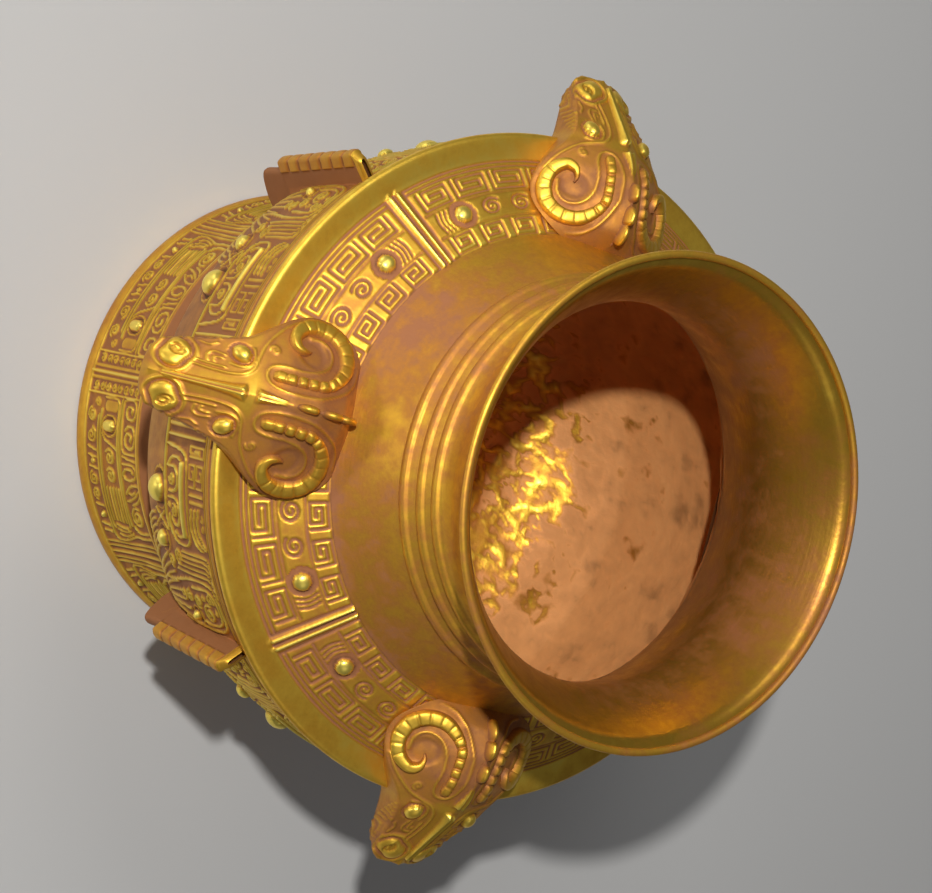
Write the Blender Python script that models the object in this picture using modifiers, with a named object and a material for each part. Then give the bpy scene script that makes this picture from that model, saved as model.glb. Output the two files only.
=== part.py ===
"""A gilt bronze wine jar with a flared mouth, a sharp shoulder and a high foot ring.

Four ram heads look out over the shoulder edge, and four toothed flanges stand on the
belly between them. Everything is cast in one piece with an even wall. The jar stands on
the flat underside of its foot ring, at z = 0, with its axis on Z and a head at -Y.
"""
import math

import bmesh
import bpy
from mathutils import Matrix, Vector

# Body, from the foot ring up, in metres
WALL = 0.0040
LIP_THICKNESS = 0.0032
FOOT_RADIUS = 0.1143
FOOT_TOP_RADIUS = 0.1098
FOOT_HEIGHT = 0.0600
FOOT_RIM_HEIGHT = 0.0060
GROOVE_RADIUS = 0.1063
GROOVE_HEIGHT = 0.0300
BELLY_FOOT_RADIUS = 0.1145
BELLY_RADIUS = 0.1386
BELLY_HEIGHT = 0.1000
EDGE_RADIUS = 0.1428
EDGE_HEIGHT = 0.0050
BAND_OUTER_RADIUS = 0.1318
BAND_INNER_RADIUS = 0.1010
BAND_RISE = 0.0191
BAND_DEPTH = 0.0008
WAIST_RADIUS = 0.0801
NECK_RISE = 0.0530
MOUTH_RADIUS = 0.0980
MOUTH_RISE = 0.0342
RING_HEIGHT = 0.0011
RING_WIDTH = 0.0030
BELLY_RING_INSET = 0.0062
NECK_RING_HEIGHT = 0.0019
NECK_RING_WIDTH = 0.0042
NECK_RING_DROPS = (0.0250, 0.0170, 0.0090)
FLOOR_CLEARANCE = 0.0070

# Ornament set round the body; angles are from the middle of the nearest head
HEAD_COUNT = 4
STUD_ANGLE = 18.9
STUD_RISE = 0.0420
STUD_RADIUS = 0.0066
STUD_HEIGHT = 0.0042
FOOT_EYE_ANGLE = 12.2
FOOT_EYE_RADIUS = 0.0040
FOOT_EYE_HEIGHT = 0.0022
FOOT_NOSE_WIDTH = 0.0042
FOOT_NOSE_HEIGHT = 0.0024
BELLY_EYE_ANGLE = 28.0
BELLY_EYE_RISE = 0.0410
BELLY_EYE_RADIUS = 0.0050
BELLY_EYE_HEIGHT = 0.0026
BELLY_BAR_ANGLES = (13.5, 25.5)
BELLY_BAR_RISE = 0.0690
BELLY_BAR_WIDTH = 0.0024
BELLY_BAR_HEIGHT = 0.0020
SHOULDER_EYE_OFFSET = 8.0
SHOULDER_EYE_RADIUS = 0.0042
SHOULDER_EYE_HEIGHT = 0.0026
DIVIDER_WIDTH = 0.0026
DIVIDER_HEIGHT = 0.0014

# Flanges; reaches are from the widest part of the belly
FLANGE_THICKNESS = 0.0046
FLANGE_TOP_REACH = 0.0138
FLANGE_LOW_REACH = 0.0098
FLANGE_SWELL = 0.0010
FLANGE_LENGTH = 0.0860
FLANGE_TOP_GAP = 0.0120
FLANGE_TEETH = 7
TOOTH_DEPTH = 0.0018
LOBE_REACH = 0.0060
LOBE_LENGTH = 0.0180

# Ram heads: the brow is measured from the jar's axis, heights from the outer edge of the band
HEAD_SEAT = 0.0010
BROW_REACH = 0.1455
SNOUT_LENGTH = 0.0280
CROWN_HEIGHT = 0.0335
BROW_HEIGHT = 0.0190
SNOUT_HEIGHT = -0.0085
SNOUT_DROP = 0.0175
HORN_HALF_WIDTH = 0.0350
BROW_HALF_WIDTH = 0.0205
SNOUT_HALF_WIDTH = 0.0120
HORN_CENTRE_REACH = 0.1180
HORN_CENTRE_SIDE = 0.0210
HORN_TURN_RADIUS = 0.0100
HORN_THICKNESS = 0.0030
HORN_TIP_THICKNESS = 0.0024
HORN_START_INSET = 0.0100
EYE_OFFSET = 0.0020
EYE_SIDE = 0.0140
EYE_RADIUS = 0.0045
EYE_HEIGHT = 0.0036
NOSTRIL_INSET = 0.0070
NOSTRIL_SIDE = 0.0090
NOSTRIL_RADIUS = 0.0048
NOSTRIL_HEIGHT = 0.0042
NOSE_WIDTH = 0.0066
NOSE_HEIGHT = 0.0026
CREST_WIDTH = 0.0048
CREST_HEIGHT = 0.0030
CREST_LENGTH = 0.0130
COMB_HOOKS = 3
COMB_PITCH = 0.0064
COMB_WIDTH = 0.0034
COMB_HEIGHT = 0.0044

TURN_STEPS = 36
EYE_SIDES = 8
BOSS_SIDES = 6
SEAT = 0.0016
MERGE_DISTANCE = 0.00001

# Heights and distances that follow from the sizes above
FOOT_TOP = FOOT_HEIGHT
BELLY_FOOT = FOOT_TOP + GROOVE_HEIGHT
BELLY_TOP = BELLY_FOOT + BELLY_HEIGHT
BAND_OUTER = BELLY_TOP + EDGE_HEIGHT
BAND_INNER = BAND_OUTER + BAND_RISE
WAIST = BAND_INNER + NECK_RISE
MOUTH = WAIST + MOUTH_RISE
HEAD_BACK = BAND_INNER_RADIUS - HEAD_SEAT
SNOUT_REACH = BROW_REACH + SNOUT_LENGTH
NOSTRIL_REACH = SNOUT_REACH - NOSTRIL_INSET
EYE_REACH = BROW_REACH + EYE_OFFSET
HORN_START_REACH = BROW_REACH - HORN_START_INSET
CREST_START = BROW_REACH - 0.6 * CREST_WIDTH
COMB_START = CREST_START - CREST_LENGTH - 0.3 * COMB_PITCH


def clear_scene():
    for item in list(bpy.data.objects):
        bpy.data.objects.remove(item)


def make_material(name, colour, roughness):
    material = bpy.data.materials.new(name)
    material.use_nodes = True
    shader = material.node_tree.nodes["Principled BSDF"]
    shader.inputs["Base Color"].default_value = (*colour, 1.0)
    shader.inputs["Metallic"].default_value = 1.0
    shader.inputs["Roughness"].default_value = roughness
    return material


def foot_radius(z):
    """Outside of the foot ring, which sweeps outward to its lower edge."""
    share = 1.0 - z / FOOT_HEIGHT
    return FOOT_TOP_RADIUS + (FOOT_RADIUS - FOOT_TOP_RADIUS) * max(share, 0.0) ** 2


def belly_radius(z):
    """Outside of the belly: a quarter ellipse that ends upright below the shoulder."""
    share = min((z - BELLY_FOOT) / (0.8 * BELLY_HEIGHT), 1.0)
    return BELLY_FOOT_RADIUS + (BELLY_RADIUS - BELLY_FOOT_RADIUS) * math.sqrt(share * (2.0 - share))


def shoulder_height(radius):
    """Height of the sloping shoulder, level outside its ornament band."""
    share = (BAND_OUTER_RADIUS - radius) / (BAND_OUTER_RADIUS - BAND_INNER_RADIUS)
    return BAND_OUTER + BAND_RISE * max(share, 0.0)


def neck_radius(z):
    """Outside of the neck, drawn in to the waist and flared again to the mouth."""
    if z < WAIST:
        return WAIST_RADIUS + (BAND_INNER_RADIUS - WAIST_RADIUS) * ((WAIST - z) / NECK_RISE) ** 1.9
    return WAIST_RADIUS + (MOUTH_RADIUS - WAIST_RADIUS) * ((z - WAIST) / MOUTH_RISE) ** 1.4


def ring_points(radius_at, z, height, width):
    """Three profile points of a raised ring, from its upper side to its lower side."""
    crest = (radius_at(z) + height, z)
    return [(radius_at(z + width / 2), z + width / 2), crest, (radius_at(z - width / 2), z - width / 2)]


def spaced(first, last, count):
    return [first + (last - first) * step / (count - 1) for step in range(count)]


def inner_profile():
    """Inside of the vessel, from the middle of its floor up to the lip."""
    floor = FOOT_TOP + FLOOR_CLEARANCE + WALL
    step = FOOT_TOP + 0.75 * GROOVE_HEIGHT + 0.5 * WALL
    points = [(0.0, floor), (GROOVE_RADIUS - 3 * WALL, floor), (GROOVE_RADIUS - WALL, floor + 2 * WALL)]
    points.append((GROOVE_RADIUS - WALL, step))
    for z in spaced(BELLY_FOOT + WALL, BELLY_TOP - 2.0 * WALL, 4):
        points.append((belly_radius(z - 0.6 * WALL) - WALL, z))
    points.append((BELLY_RADIUS - 2.5 * WALL, shoulder_height(BELLY_RADIUS - WALL) - 1.4 * WALL))
    points.append((BAND_INNER_RADIUS - 0.3 * WALL, BAND_INNER - 1.2 * WALL))
    for z in spaced(BAND_INNER + 1.5 * WALL, WAIST, 3):
        points.append((neck_radius(z) - WALL, z))
    for z in spaced(WAIST + 0.35 * MOUTH_RISE, MOUTH - 0.5 * LIP_THICKNESS, 3):
        points.append((neck_radius(z) - LIP_THICKNESS, z))
    return points


def outer_profile():
    """Outside of the jar, from the lip down to the foot and up again to the floor."""
    points = [(MOUTH_RADIUS - 0.7 * LIP_THICKNESS, MOUTH), (MOUTH_RADIUS - 0.3 * LIP_THICKNESS, MOUTH)]
    for z in spaced(MOUTH - 0.4 * LIP_THICKNESS, WAIST, 4):
        points.append((neck_radius(z), z))
    for drop in reversed(NECK_RING_DROPS):
        points += ring_points(neck_radius, WAIST - drop, NECK_RING_HEIGHT, NECK_RING_WIDTH)
    for z in spaced(BAND_INNER + 0.20 * NECK_RISE, BAND_INNER, 2):
        points.append((neck_radius(z), z))
    for radius in (BAND_INNER_RADIUS + BAND_DEPTH, BAND_OUTER_RADIUS - BAND_DEPTH):
        points.append((radius, shoulder_height(radius) - BAND_DEPTH))
    points.append((BAND_OUTER_RADIUS, BAND_OUTER))
    points.append((EDGE_RADIUS - 0.2 * EDGE_HEIGHT, BAND_OUTER - 0.2 * EDGE_HEIGHT))
    points.append((EDGE_RADIUS, BAND_OUTER - 0.5 * EDGE_HEIGHT))
    points.append((EDGE_RADIUS - 0.2 * EDGE_HEIGHT, BELLY_TOP + 0.1 * EDGE_HEIGHT))
    points.append((BELLY_RADIUS, BELLY_TOP))
    points += ring_points(belly_radius, BELLY_TOP - BELLY_RING_INSET, RING_HEIGHT, RING_WIDTH)
    for share in (0.50, 0.26, 0.09):
        z = BELLY_FOOT + share * BELLY_HEIGHT
        points.append((belly_radius(z), z))
    points += ring_points(lambda z: BELLY_FOOT_RADIUS, BELLY_FOOT, RING_HEIGHT, RING_WIDTH)
    for share in (0.75, 0.30):
        points.append((GROOVE_RADIUS, FOOT_TOP + share * GROOVE_HEIGHT))
    points += ring_points(foot_radius, FOOT_HEIGHT - 0.5 * RING_WIDTH, RING_HEIGHT, RING_WIDTH)
    points.append((foot_radius(0.5 * FOOT_HEIGHT), 0.5 * FOOT_HEIGHT))
    points.append((foot_radius(FOOT_RIM_HEIGHT + RING_WIDTH), FOOT_RIM_HEIGHT + RING_WIDTH))
    points += [(FOOT_RADIUS, FOOT_RIM_HEIGHT), (FOOT_RADIUS, 0.0), (FOOT_RADIUS - WALL, 0.0)]
    for share in (0.4, 0.8):
        points.append((foot_radius(share * FOOT_HEIGHT) - WALL, share * FOOT_HEIGHT))
    underside = FOOT_TOP + FLOOR_CLEARANCE
    points += [(GROOVE_RADIUS - WALL - 0.006, underside), (0.0, underside)]
    return points


def make_body(collection, material):
    """Wall of the jar, turned from its profile about the Z axis."""
    points = inner_profile() + outer_profile()
    mesh = bpy.data.meshes.new("jar")
    edges = [(index, index + 1) for index in range(len(points) - 1)]
    mesh.from_pydata([(radius, 0.0, z) for radius, z in points], edges, [])
    body = bpy.data.objects.new("jar", mesh)
    collection.objects.link(body)
    turn = body.modifiers.new("turn", "SCREW")
    turn.axis = "Z"
    turn.steps = TURN_STEPS
    turn.render_steps = TURN_STEPS
    turn.use_merge_vertices = True
    turn.merge_threshold = MERGE_DISTANCE
    turn.use_smooth_shade = True
    mesh.materials.append(material)
    return body


def add_piece(collection, name, shape):
    """Turn a bmesh into an object that is joined to the body and not shown by itself."""
    bmesh.ops.remove_doubles(shape, verts=shape.verts, dist=MERGE_DISTANCE)
    bmesh.ops.recalc_face_normals(shape, faces=shape.faces)
    mesh = bpy.data.meshes.new(name)
    shape.to_mesh(mesh)
    shape.free()
    piece = bpy.data.objects.new(name, mesh)
    piece.hide_render = True
    piece.display_type = "WIRE"
    collection.objects.link(piece)
    return piece


def loft(sections):
    """Closed skin over a row of sections that all have the same number of points."""
    shape = bmesh.new()
    rings = [[shape.verts.new(point) for point in section] for section in sections]
    count = len(rings[0])
    for ring, following in zip(rings, rings[1:]):
        for index in range(count):
            after = (index + 1) % count
            shape.faces.new((ring[index], ring[after], following[after], following[index]))
    shape.faces.new(list(reversed(rings[0])))
    shape.faces.new(rings[-1])
    bmesh.ops.triangulate(shape, faces=shape.faces)
    return shape


def facing(position, outward):
    """Frame at a position whose Z points outward from the surface."""
    turn = Vector(outward).to_track_quat("Z", "Y").to_matrix().to_4x4()
    return Matrix.Translation(position) @ turn


def boss(radius, height, frame, sides=BOSS_SIDES):
    """Low dome with a short foot that is sunk into the surface below it."""
    shape = bmesh.new()
    bmesh.ops.create_cone(shape, cap_ends=True, segments=sides, radius1=radius,
                          radius2=0.86 * radius, depth=SEAT + 0.45 * height)
    bmesh.ops.translate(shape, verts=shape.verts, vec=(0.0, 0.0, 0.225 * height - 0.5 * SEAT))
    top = max(shape.faces, key=lambda face: face.calc_center_median().z)
    bmesh.ops.inset_individual(shape, faces=[top], thickness=0.36 * radius, depth=0.0)
    bmesh.ops.translate(shape, verts=top.verts, vec=(0.0, 0.0, 0.55 * height))
    bmesh.ops.transform(shape, verts=shape.verts, matrix=frame)
    return shape


def on_wall(radius, degrees, z):
    turn = math.radians(degrees)
    return Vector((radius * math.cos(turn), radius * math.sin(turn), z))


def outward(degrees, slope=0.0):
    """Direction away from the axis, raised by the slope in degrees."""
    lift = math.radians(slope)
    flat = on_wall(math.cos(lift), degrees, 0.0)
    return flat + Vector((0.0, 0.0, math.sin(lift)))


def radial_blade(points, thickness):
    """Plate that stands on the radius through +X, from its outline in reach and height."""
    shape = bmesh.new()
    near = [shape.verts.new((reach, -thickness / 2, z)) for reach, z in points]
    far = [shape.verts.new((reach, thickness / 2, z)) for reach, z in points]
    shape.faces.new(near)
    shape.faces.new(list(reversed(far)))
    for index, corner in enumerate(near):
        shape.faces.new((near[index - 1], corner, far[index], far[index - 1]))
    return shape


def flange_outline():
    """Toothed flange with a lobe below, as reach and height, sunk a little into the belly."""
    top = BELLY_TOP - FLANGE_TOP_GAP + 0.5 * RING_WIDTH
    bottom = top - FLANGE_LENGTH
    tooth_bottom = bottom + LOBE_LENGTH
    outline = [(belly_radius(top) - SEAT, top)]
    pitch = (top - tooth_bottom) / FLANGE_TEETH
    for tooth in range(FLANGE_TEETH):
        z = top - tooth * pitch
        share = (z - pitch / 2 - tooth_bottom) / (top - tooth_bottom)
        crest = BELLY_RADIUS + FLANGE_LOW_REACH + (FLANGE_TOP_REACH - FLANGE_LOW_REACH) * share
        crest += 4.0 * FLANGE_SWELL * share * (1.0 - share)
        outline.append((crest, z - 0.15 * pitch))
        outline.append((crest, z - 0.55 * pitch))
        outline.append((crest - TOOTH_DEPTH, z - 0.85 * pitch))
    outline.append((belly_radius(tooth_bottom) + LOBE_REACH + TOOTH_DEPTH, tooth_bottom - TOOTH_DEPTH))
    outline.append((belly_radius(bottom + 0.4 * LOBE_LENGTH) + LOBE_REACH, bottom + 0.4 * LOBE_LENGTH))
    outline.append((belly_radius(bottom) + 0.5 * LOBE_REACH, bottom))
    for share in (0.0, 0.25, 0.6):
        z = bottom + share * (top - bottom)
        outline.append((belly_radius(z) - SEAT, z))
    return outline


def make_flange():
    return radial_blade(flange_outline(), FLANGE_THICKNESS)


def curved_bar(radius, z, angles, width, height):
    """Raised bar that runs round the wall between two angles."""
    sections = []
    for degrees in spaced(angles[0], angles[1], 3):
        corners = ((-SEAT, -0.5), (height, -0.3), (height, 0.3), (-SEAT, 0.5))
        sections.append([on_wall(radius + out, degrees, z + up * width) for out, up in corners])
    return loft(sections)


def straight_bar(start, end, across, up, widths, height):
    """Tapered bar between two points of a surface, with its foot sunk into the surface."""
    sections = []
    for point, width in ((start, widths[0]), (end, widths[1])):
        corners = ((-0.5, -SEAT), (-0.3, height), (0.3, height), (0.5, -SEAT))
        sections.append([point + across * (side * width) + up * rise for side, rise in corners])
    return loft(sections)


def smooth_line(points, x):
    """Height at x of a smooth line through points that are given from left to right."""
    index = 0
    while index < len(points) - 2 and x > points[index + 1][0]:
        index += 1
    (x0, y0), (x1, y1) = points[index], points[index + 1]
    before = points[max(index - 1, 0)]
    after = points[min(index + 2, len(points) - 1)]
    slope0 = (y1 - before[1]) / (x1 - before[0])
    slope1 = (after[1] - y0) / (after[0] - x0)
    step = x1 - x0
    t = min(max((x - x0) / step, 0.0), 1.0)
    start = (2 * t**3 - 3 * t**2 + 1) * y0 + (t**3 - 2 * t**2 + t) * step * slope0
    return start + (3 * t**2 - 2 * t**3) * y1 + (t**3 - t**2) * step * slope1


# The four lines that shape a ram head, as distance from the axis against height or width
CREST_LINE = (
    (HEAD_BACK, BAND_OUTER + 0.65 * CROWN_HEIGHT),
    (HORN_CENTRE_REACH, BAND_OUTER + CROWN_HEIGHT),
    (BROW_REACH, BAND_OUTER + BROW_HEIGHT),
    (SNOUT_REACH, BAND_OUTER + SNOUT_HEIGHT),
)
WIDTH_LINE = (
    (HEAD_BACK, 0.25 * HORN_HALF_WIDTH),
    (HORN_CENTRE_REACH, HORN_HALF_WIDTH),
    (BROW_REACH, BROW_HALF_WIDTH),
    (NOSTRIL_REACH, SNOUT_HALF_WIDTH),
    (SNOUT_REACH, 0.6 * SNOUT_HALF_WIDTH),
)
SIDE_LINE = (
    (HEAD_BACK, BAND_OUTER + 0.62 * CROWN_HEIGHT),
    (HORN_CENTRE_REACH, BAND_OUTER + 0.30 * CROWN_HEIGHT),
    (BROW_REACH, BAND_OUTER + 0.42 * BROW_HEIGHT),
    (SNOUT_REACH, BAND_OUTER + SNOUT_HEIGHT - 0.25 * SNOUT_DROP),
)
JAW_LINE = (
    (EDGE_RADIUS - WALL, BELLY_TOP - WALL),
    (BROW_REACH, BAND_OUTER - 0.6 * SNOUT_DROP),
    (NOSTRIL_REACH, BAND_OUTER + SNOUT_HEIGHT - 0.55 * SNOUT_DROP),
    (SNOUT_REACH, BAND_OUTER + SNOUT_HEIGHT - 0.40 * SNOUT_DROP),
)


def head_top(reach, side):
    """Height of a head's roof-like upper surface."""
    share = min(abs(side) / smooth_line(WIDTH_LINE, reach), 1.0)
    crest = smooth_line(CREST_LINE, reach)
    return crest - (crest - smooth_line(SIDE_LINE, reach)) * share**1.2


def head_under(reach, side):
    """Height of a head's underside: sunk in the shoulder, and the jaw beyond its edge."""
    if reach < EDGE_RADIUS - 2 * WALL:
        return shoulder_height(math.hypot(reach, side)) - 0.65 * WALL
    return smooth_line(JAW_LINE, reach)


def make_head():
    """Body of a ram head, lofted from the neck side out to the snout."""
    sections = []
    for reach in spaced(HEAD_BACK, SNOUT_REACH, 11):
        width = smooth_line(WIDTH_LINE, reach)
        half = [(0.0, head_top(reach, 0.0)), (0.5 * width, head_top(reach, 0.5 * width))]
        half.append((width, head_top(reach, width)))
        low = head_under(reach, width)
        half.append((0.94 * width, low + 0.2 * (half[-1][1] - low)))
        half.append((0.6 * width, head_under(reach, 0.6 * width)))
        half.append((0.0, head_under(reach, 0.0)))
        other = [(-side, z) for side, z in reversed(half[1:-1])]
        sections.append([(reach, side, z) for side, z in half + other])
    return loft(sections)


def horn_line(share):
    """Middle line of a horn: straight back from the brow, then curling round to its tip."""
    straight = HORN_START_REACH - HORN_CENTRE_REACH
    curl = 1.75 * math.pi * HORN_TURN_RADIUS
    run = share * (straight + curl)
    if run < straight:
        return HORN_START_REACH - run, HORN_CENTRE_SIDE - HORN_TURN_RADIUS
    turn = (run - straight) / HORN_TURN_RADIUS
    radius = HORN_TURN_RADIUS * (1.0 - 0.55 * (turn / (1.75 * math.pi)) ** 3)
    reach = HORN_CENTRE_REACH - radius * math.sin(turn)
    return reach, HORN_CENTRE_SIDE - radius * math.cos(turn)


def make_horn(mirror):
    """Round horn that curls on the side of a head."""
    sections = []
    for share in spaced(0.0, 1.0, 9):
        reach, side = horn_line(share)
        ahead = horn_line(min(share + 0.01, 1.0))
        behind = horn_line(max(share - 0.01, 0.0))
        along = Vector((ahead[0] - behind[0], ahead[1] - behind[1], 0.0)).normalized()
        across = Vector((-along.y, along.x, 0.0))
        thick = HORN_THICKNESS + (HORN_TIP_THICKNESS - HORN_THICKNESS) * share**2
        centre = Vector((reach, side, head_top(reach, side) - 0.1 * thick))
        ring = []
        for corner in range(5):
            turn = math.radians(72 * corner)
            ring.append(centre + across * (thick * math.cos(turn)) + Vector((0, 0, thick * math.sin(turn))))
        sections.append([(point.x, mirror * point.y, point.z) for point in ring])
    return loft(sections)


def roof_frame(reach, side):
    """Frame on a head's upper surface whose Z points out of that surface."""
    step = 0.0005
    rise_out = (head_top(reach + step, side) - head_top(reach - step, side)) / (2 * step)
    rise_side = (head_top(reach, side + step) - head_top(reach, side - step)) / (2 * step)
    return facing((reach, side, head_top(reach, side)), (-rise_out, -rise_side, 1.0))


def crest_bar(reaches, widths, height):
    """Tapered bar on the crest line of a head."""
    start, end = (Vector((reach, 0.0, head_top(reach, 0.0))) for reach in reaches)
    along = (end - start).normalized()
    across = Vector((0.0, 1.0, 0.0))
    return straight_bar(start, end, across, across.cross(along), widths, height)


def comb_outline():
    """Row of hooks that stands on the crest behind the brow, as reach and height."""
    outline = []
    for hook in range(COMB_HOOKS):
        for share, rise in ((0.05, 0.10), (0.60, 1.0)):
            reach = COMB_START - (hook + share) * COMB_PITCH
            outline.append((reach, head_top(reach, 0.0) + rise * COMB_HEIGHT))
    end = COMB_START - COMB_HOOKS * COMB_PITCH
    outline.append((end, head_top(end, 0.0)))
    for reach in (end, COMB_START):
        outline.append((reach, head_top(reach, 0.0) - SEAT))
    return outline


def head_pieces():
    """All shapes of one ram head that looks along +X."""
    pieces = [make_head(), make_horn(1), make_horn(-1)]
    for mirror in (1, -1):
        pieces.append(boss(EYE_RADIUS, EYE_HEIGHT, roof_frame(EYE_REACH, mirror * EYE_SIDE), EYE_SIDES))
        nostril = roof_frame(NOSTRIL_REACH, mirror * NOSTRIL_SIDE)
        pieces.append(boss(NOSTRIL_RADIUS, NOSTRIL_HEIGHT, nostril, EYE_SIDES))
    nose_end = BROW_REACH + 0.2 * NOSE_WIDTH
    pieces.append(crest_bar((NOSTRIL_REACH, nose_end), (0.3 * NOSE_WIDTH, NOSE_WIDTH), NOSE_HEIGHT))
    crest_ends = (CREST_START, CREST_START - CREST_LENGTH)
    pieces.append(crest_bar(crest_ends, (CREST_WIDTH, 0.5 * CREST_WIDTH), CREST_HEIGHT))
    pieces.append(radial_blade(comb_outline(), COMB_WIDTH))
    return pieces


def mask_pieces():
    """Carving of one quarter of the body, with the head's middle at +X."""
    pieces = []
    lower_row = FOOT_RIM_HEIGHT + 2 * RING_WIDTH
    nose_top = FOOT_TOP - 1.5 * RING_WIDTH
    foot_nose = [Vector((foot_radius(z), 0.0, z)) for z in (lower_row, nose_top)]
    widths = (FOOT_NOSE_WIDTH, FOOT_NOSE_WIDTH)
    pieces.append(straight_bar(*foot_nose, Vector((0, 1, 0)), Vector((1, 0, 0)), widths, FOOT_NOSE_HEIGHT))
    eye_height = 0.5 * (FOOT_RIM_HEIGHT + FOOT_TOP)
    stud_height = BELLY_FOOT + STUD_RISE
    bar_height = BELLY_FOOT + BELLY_BAR_RISE
    belly_eye = BELLY_FOOT + BELLY_EYE_RISE
    for side in (1, -1):
        eye = facing(on_wall(foot_radius(eye_height), side * FOOT_EYE_ANGLE, eye_height),
                     outward(side * FOOT_EYE_ANGLE))
        pieces.append(boss(FOOT_EYE_RADIUS, FOOT_EYE_HEIGHT, eye))
        stud = facing(on_wall(belly_radius(stud_height), side * STUD_ANGLE, stud_height),
                      outward(side * STUD_ANGLE, -14.0))
        pieces.append(boss(STUD_RADIUS, STUD_HEIGHT, stud))
        eye = facing(on_wall(belly_radius(belly_eye), side * BELLY_EYE_ANGLE, belly_eye),
                     outward(side * BELLY_EYE_ANGLE, -14.0))
        pieces.append(boss(BELLY_EYE_RADIUS, BELLY_EYE_HEIGHT, eye))
        angles = [side * angle for angle in BELLY_BAR_ANGLES]
        pieces.append(curved_bar(belly_radius(bar_height), bar_height, angles, BELLY_BAR_WIDTH, BELLY_BAR_HEIGHT))
    return pieces


def divider_pieces():
    """Divider and eyes of the shoulder band, half-way between two heads, set at +X."""
    slope = math.degrees(math.atan2(BAND_OUTER_RADIUS - BAND_INNER_RADIUS, BAND_RISE))
    ends = [Vector((radius, 0.0, shoulder_height(radius) - BAND_DEPTH))
            for radius in (BAND_INNER_RADIUS + SEAT, BAND_OUTER_RADIUS - SEAT)]
    up = outward(0.0, slope)
    widths = (DIVIDER_WIDTH, DIVIDER_WIDTH)
    pieces = [straight_bar(*ends, Vector((0, 1, 0)), up, widths, DIVIDER_HEIGHT)]
    middle = 0.5 * (BAND_INNER_RADIUS + BAND_OUTER_RADIUS)
    for side in (1, -1):
        angle = side * SHOULDER_EYE_OFFSET
        place = on_wall(middle, angle, shoulder_height(middle) - BAND_DEPTH)
        pieces.append(boss(SHOULDER_EYE_RADIUS, SHOULDER_EYE_HEIGHT, facing(place, outward(angle, slope))))
    return pieces


def join(body, collection):
    """Fuse every carved piece with the body."""
    union = body.modifiers.new("join", "BOOLEAN")
    union.operation = "UNION"
    union.solver = "EXACT"
    union.operand_type = "COLLECTION"
    union.collection = collection
    union.use_self = True


clear_scene()
jar_collection = bpy.data.collections.new("wine jar")
carving_collection = bpy.data.collections.new("carving")
bpy.context.scene.collection.children.link(jar_collection)
bpy.context.scene.collection.children.link(carving_collection)
gilt_bronze = make_material("gilt bronze", (0.72, 0.43, 0.13), 0.35)
jar = make_body(jar_collection, gilt_bronze)
quarter = 360 / HEAD_COUNT
for count in range(HEAD_COUNT):
    head_turn = Matrix.Rotation(math.radians(count * quarter), 4, "Z")
    between_turn = Matrix.Rotation(math.radians((count + 0.5) * quarter), 4, "Z")
    groups = (("head", head_pieces(), head_turn), ("mask", mask_pieces(), head_turn),
              ("divider", divider_pieces(), between_turn), ("flange", [make_flange()], between_turn))
    for name, shapes, turn in groups:
        for number, shape in enumerate(shapes):
            bmesh.ops.transform(shape, verts=shape.verts, matrix=turn)
            add_piece(carving_collection, f"{name}_{count}_{number}", shape)
join(jar, carving_collection)
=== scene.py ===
import math

import bpy
import numpy as np
from mathutils import Matrix, Vector, noise


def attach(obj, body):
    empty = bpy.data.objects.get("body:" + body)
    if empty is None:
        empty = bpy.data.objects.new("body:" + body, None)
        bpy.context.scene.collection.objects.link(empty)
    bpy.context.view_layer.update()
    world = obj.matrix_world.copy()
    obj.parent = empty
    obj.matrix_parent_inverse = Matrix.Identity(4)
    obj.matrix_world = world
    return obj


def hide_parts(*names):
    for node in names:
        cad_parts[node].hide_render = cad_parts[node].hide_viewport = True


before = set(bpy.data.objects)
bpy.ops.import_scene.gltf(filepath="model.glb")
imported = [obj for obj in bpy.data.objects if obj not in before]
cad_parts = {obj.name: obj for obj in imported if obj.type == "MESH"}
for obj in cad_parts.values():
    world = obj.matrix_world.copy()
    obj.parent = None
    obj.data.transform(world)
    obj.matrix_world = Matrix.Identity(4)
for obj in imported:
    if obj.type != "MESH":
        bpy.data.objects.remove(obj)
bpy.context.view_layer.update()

# The foot ring is the lowest part of the one bronze casting, with a plain recessed groove above it.
# Its band was sunk in the wax, a mask was laid on it in threads, and the cast metal was gilt and
# rubbed by hand. Sizes are in mm, and the drawing covers the eighth from a head to a flange.
FOOT_RIM, FOOT_TOP = 6.0, 60.0
FOOT_RADIUS, FOOT_SWEEP = 109.8, 4.5
FOOT_DRAWN_AT = 111.5
FOOT_SUNK, FOOT_THREAD = -0.9, 1.15
GROOVE_RADIUS = 106.3


def foot_radius(z):
    """Outside of the foot ring in mm, swept outward to its lower edge."""
    return FOOT_RADIUS + FOOT_SWEEP * np.maximum(1.0 - np.asarray(z) / FOOT_TOP, 0.0) ** 2


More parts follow.
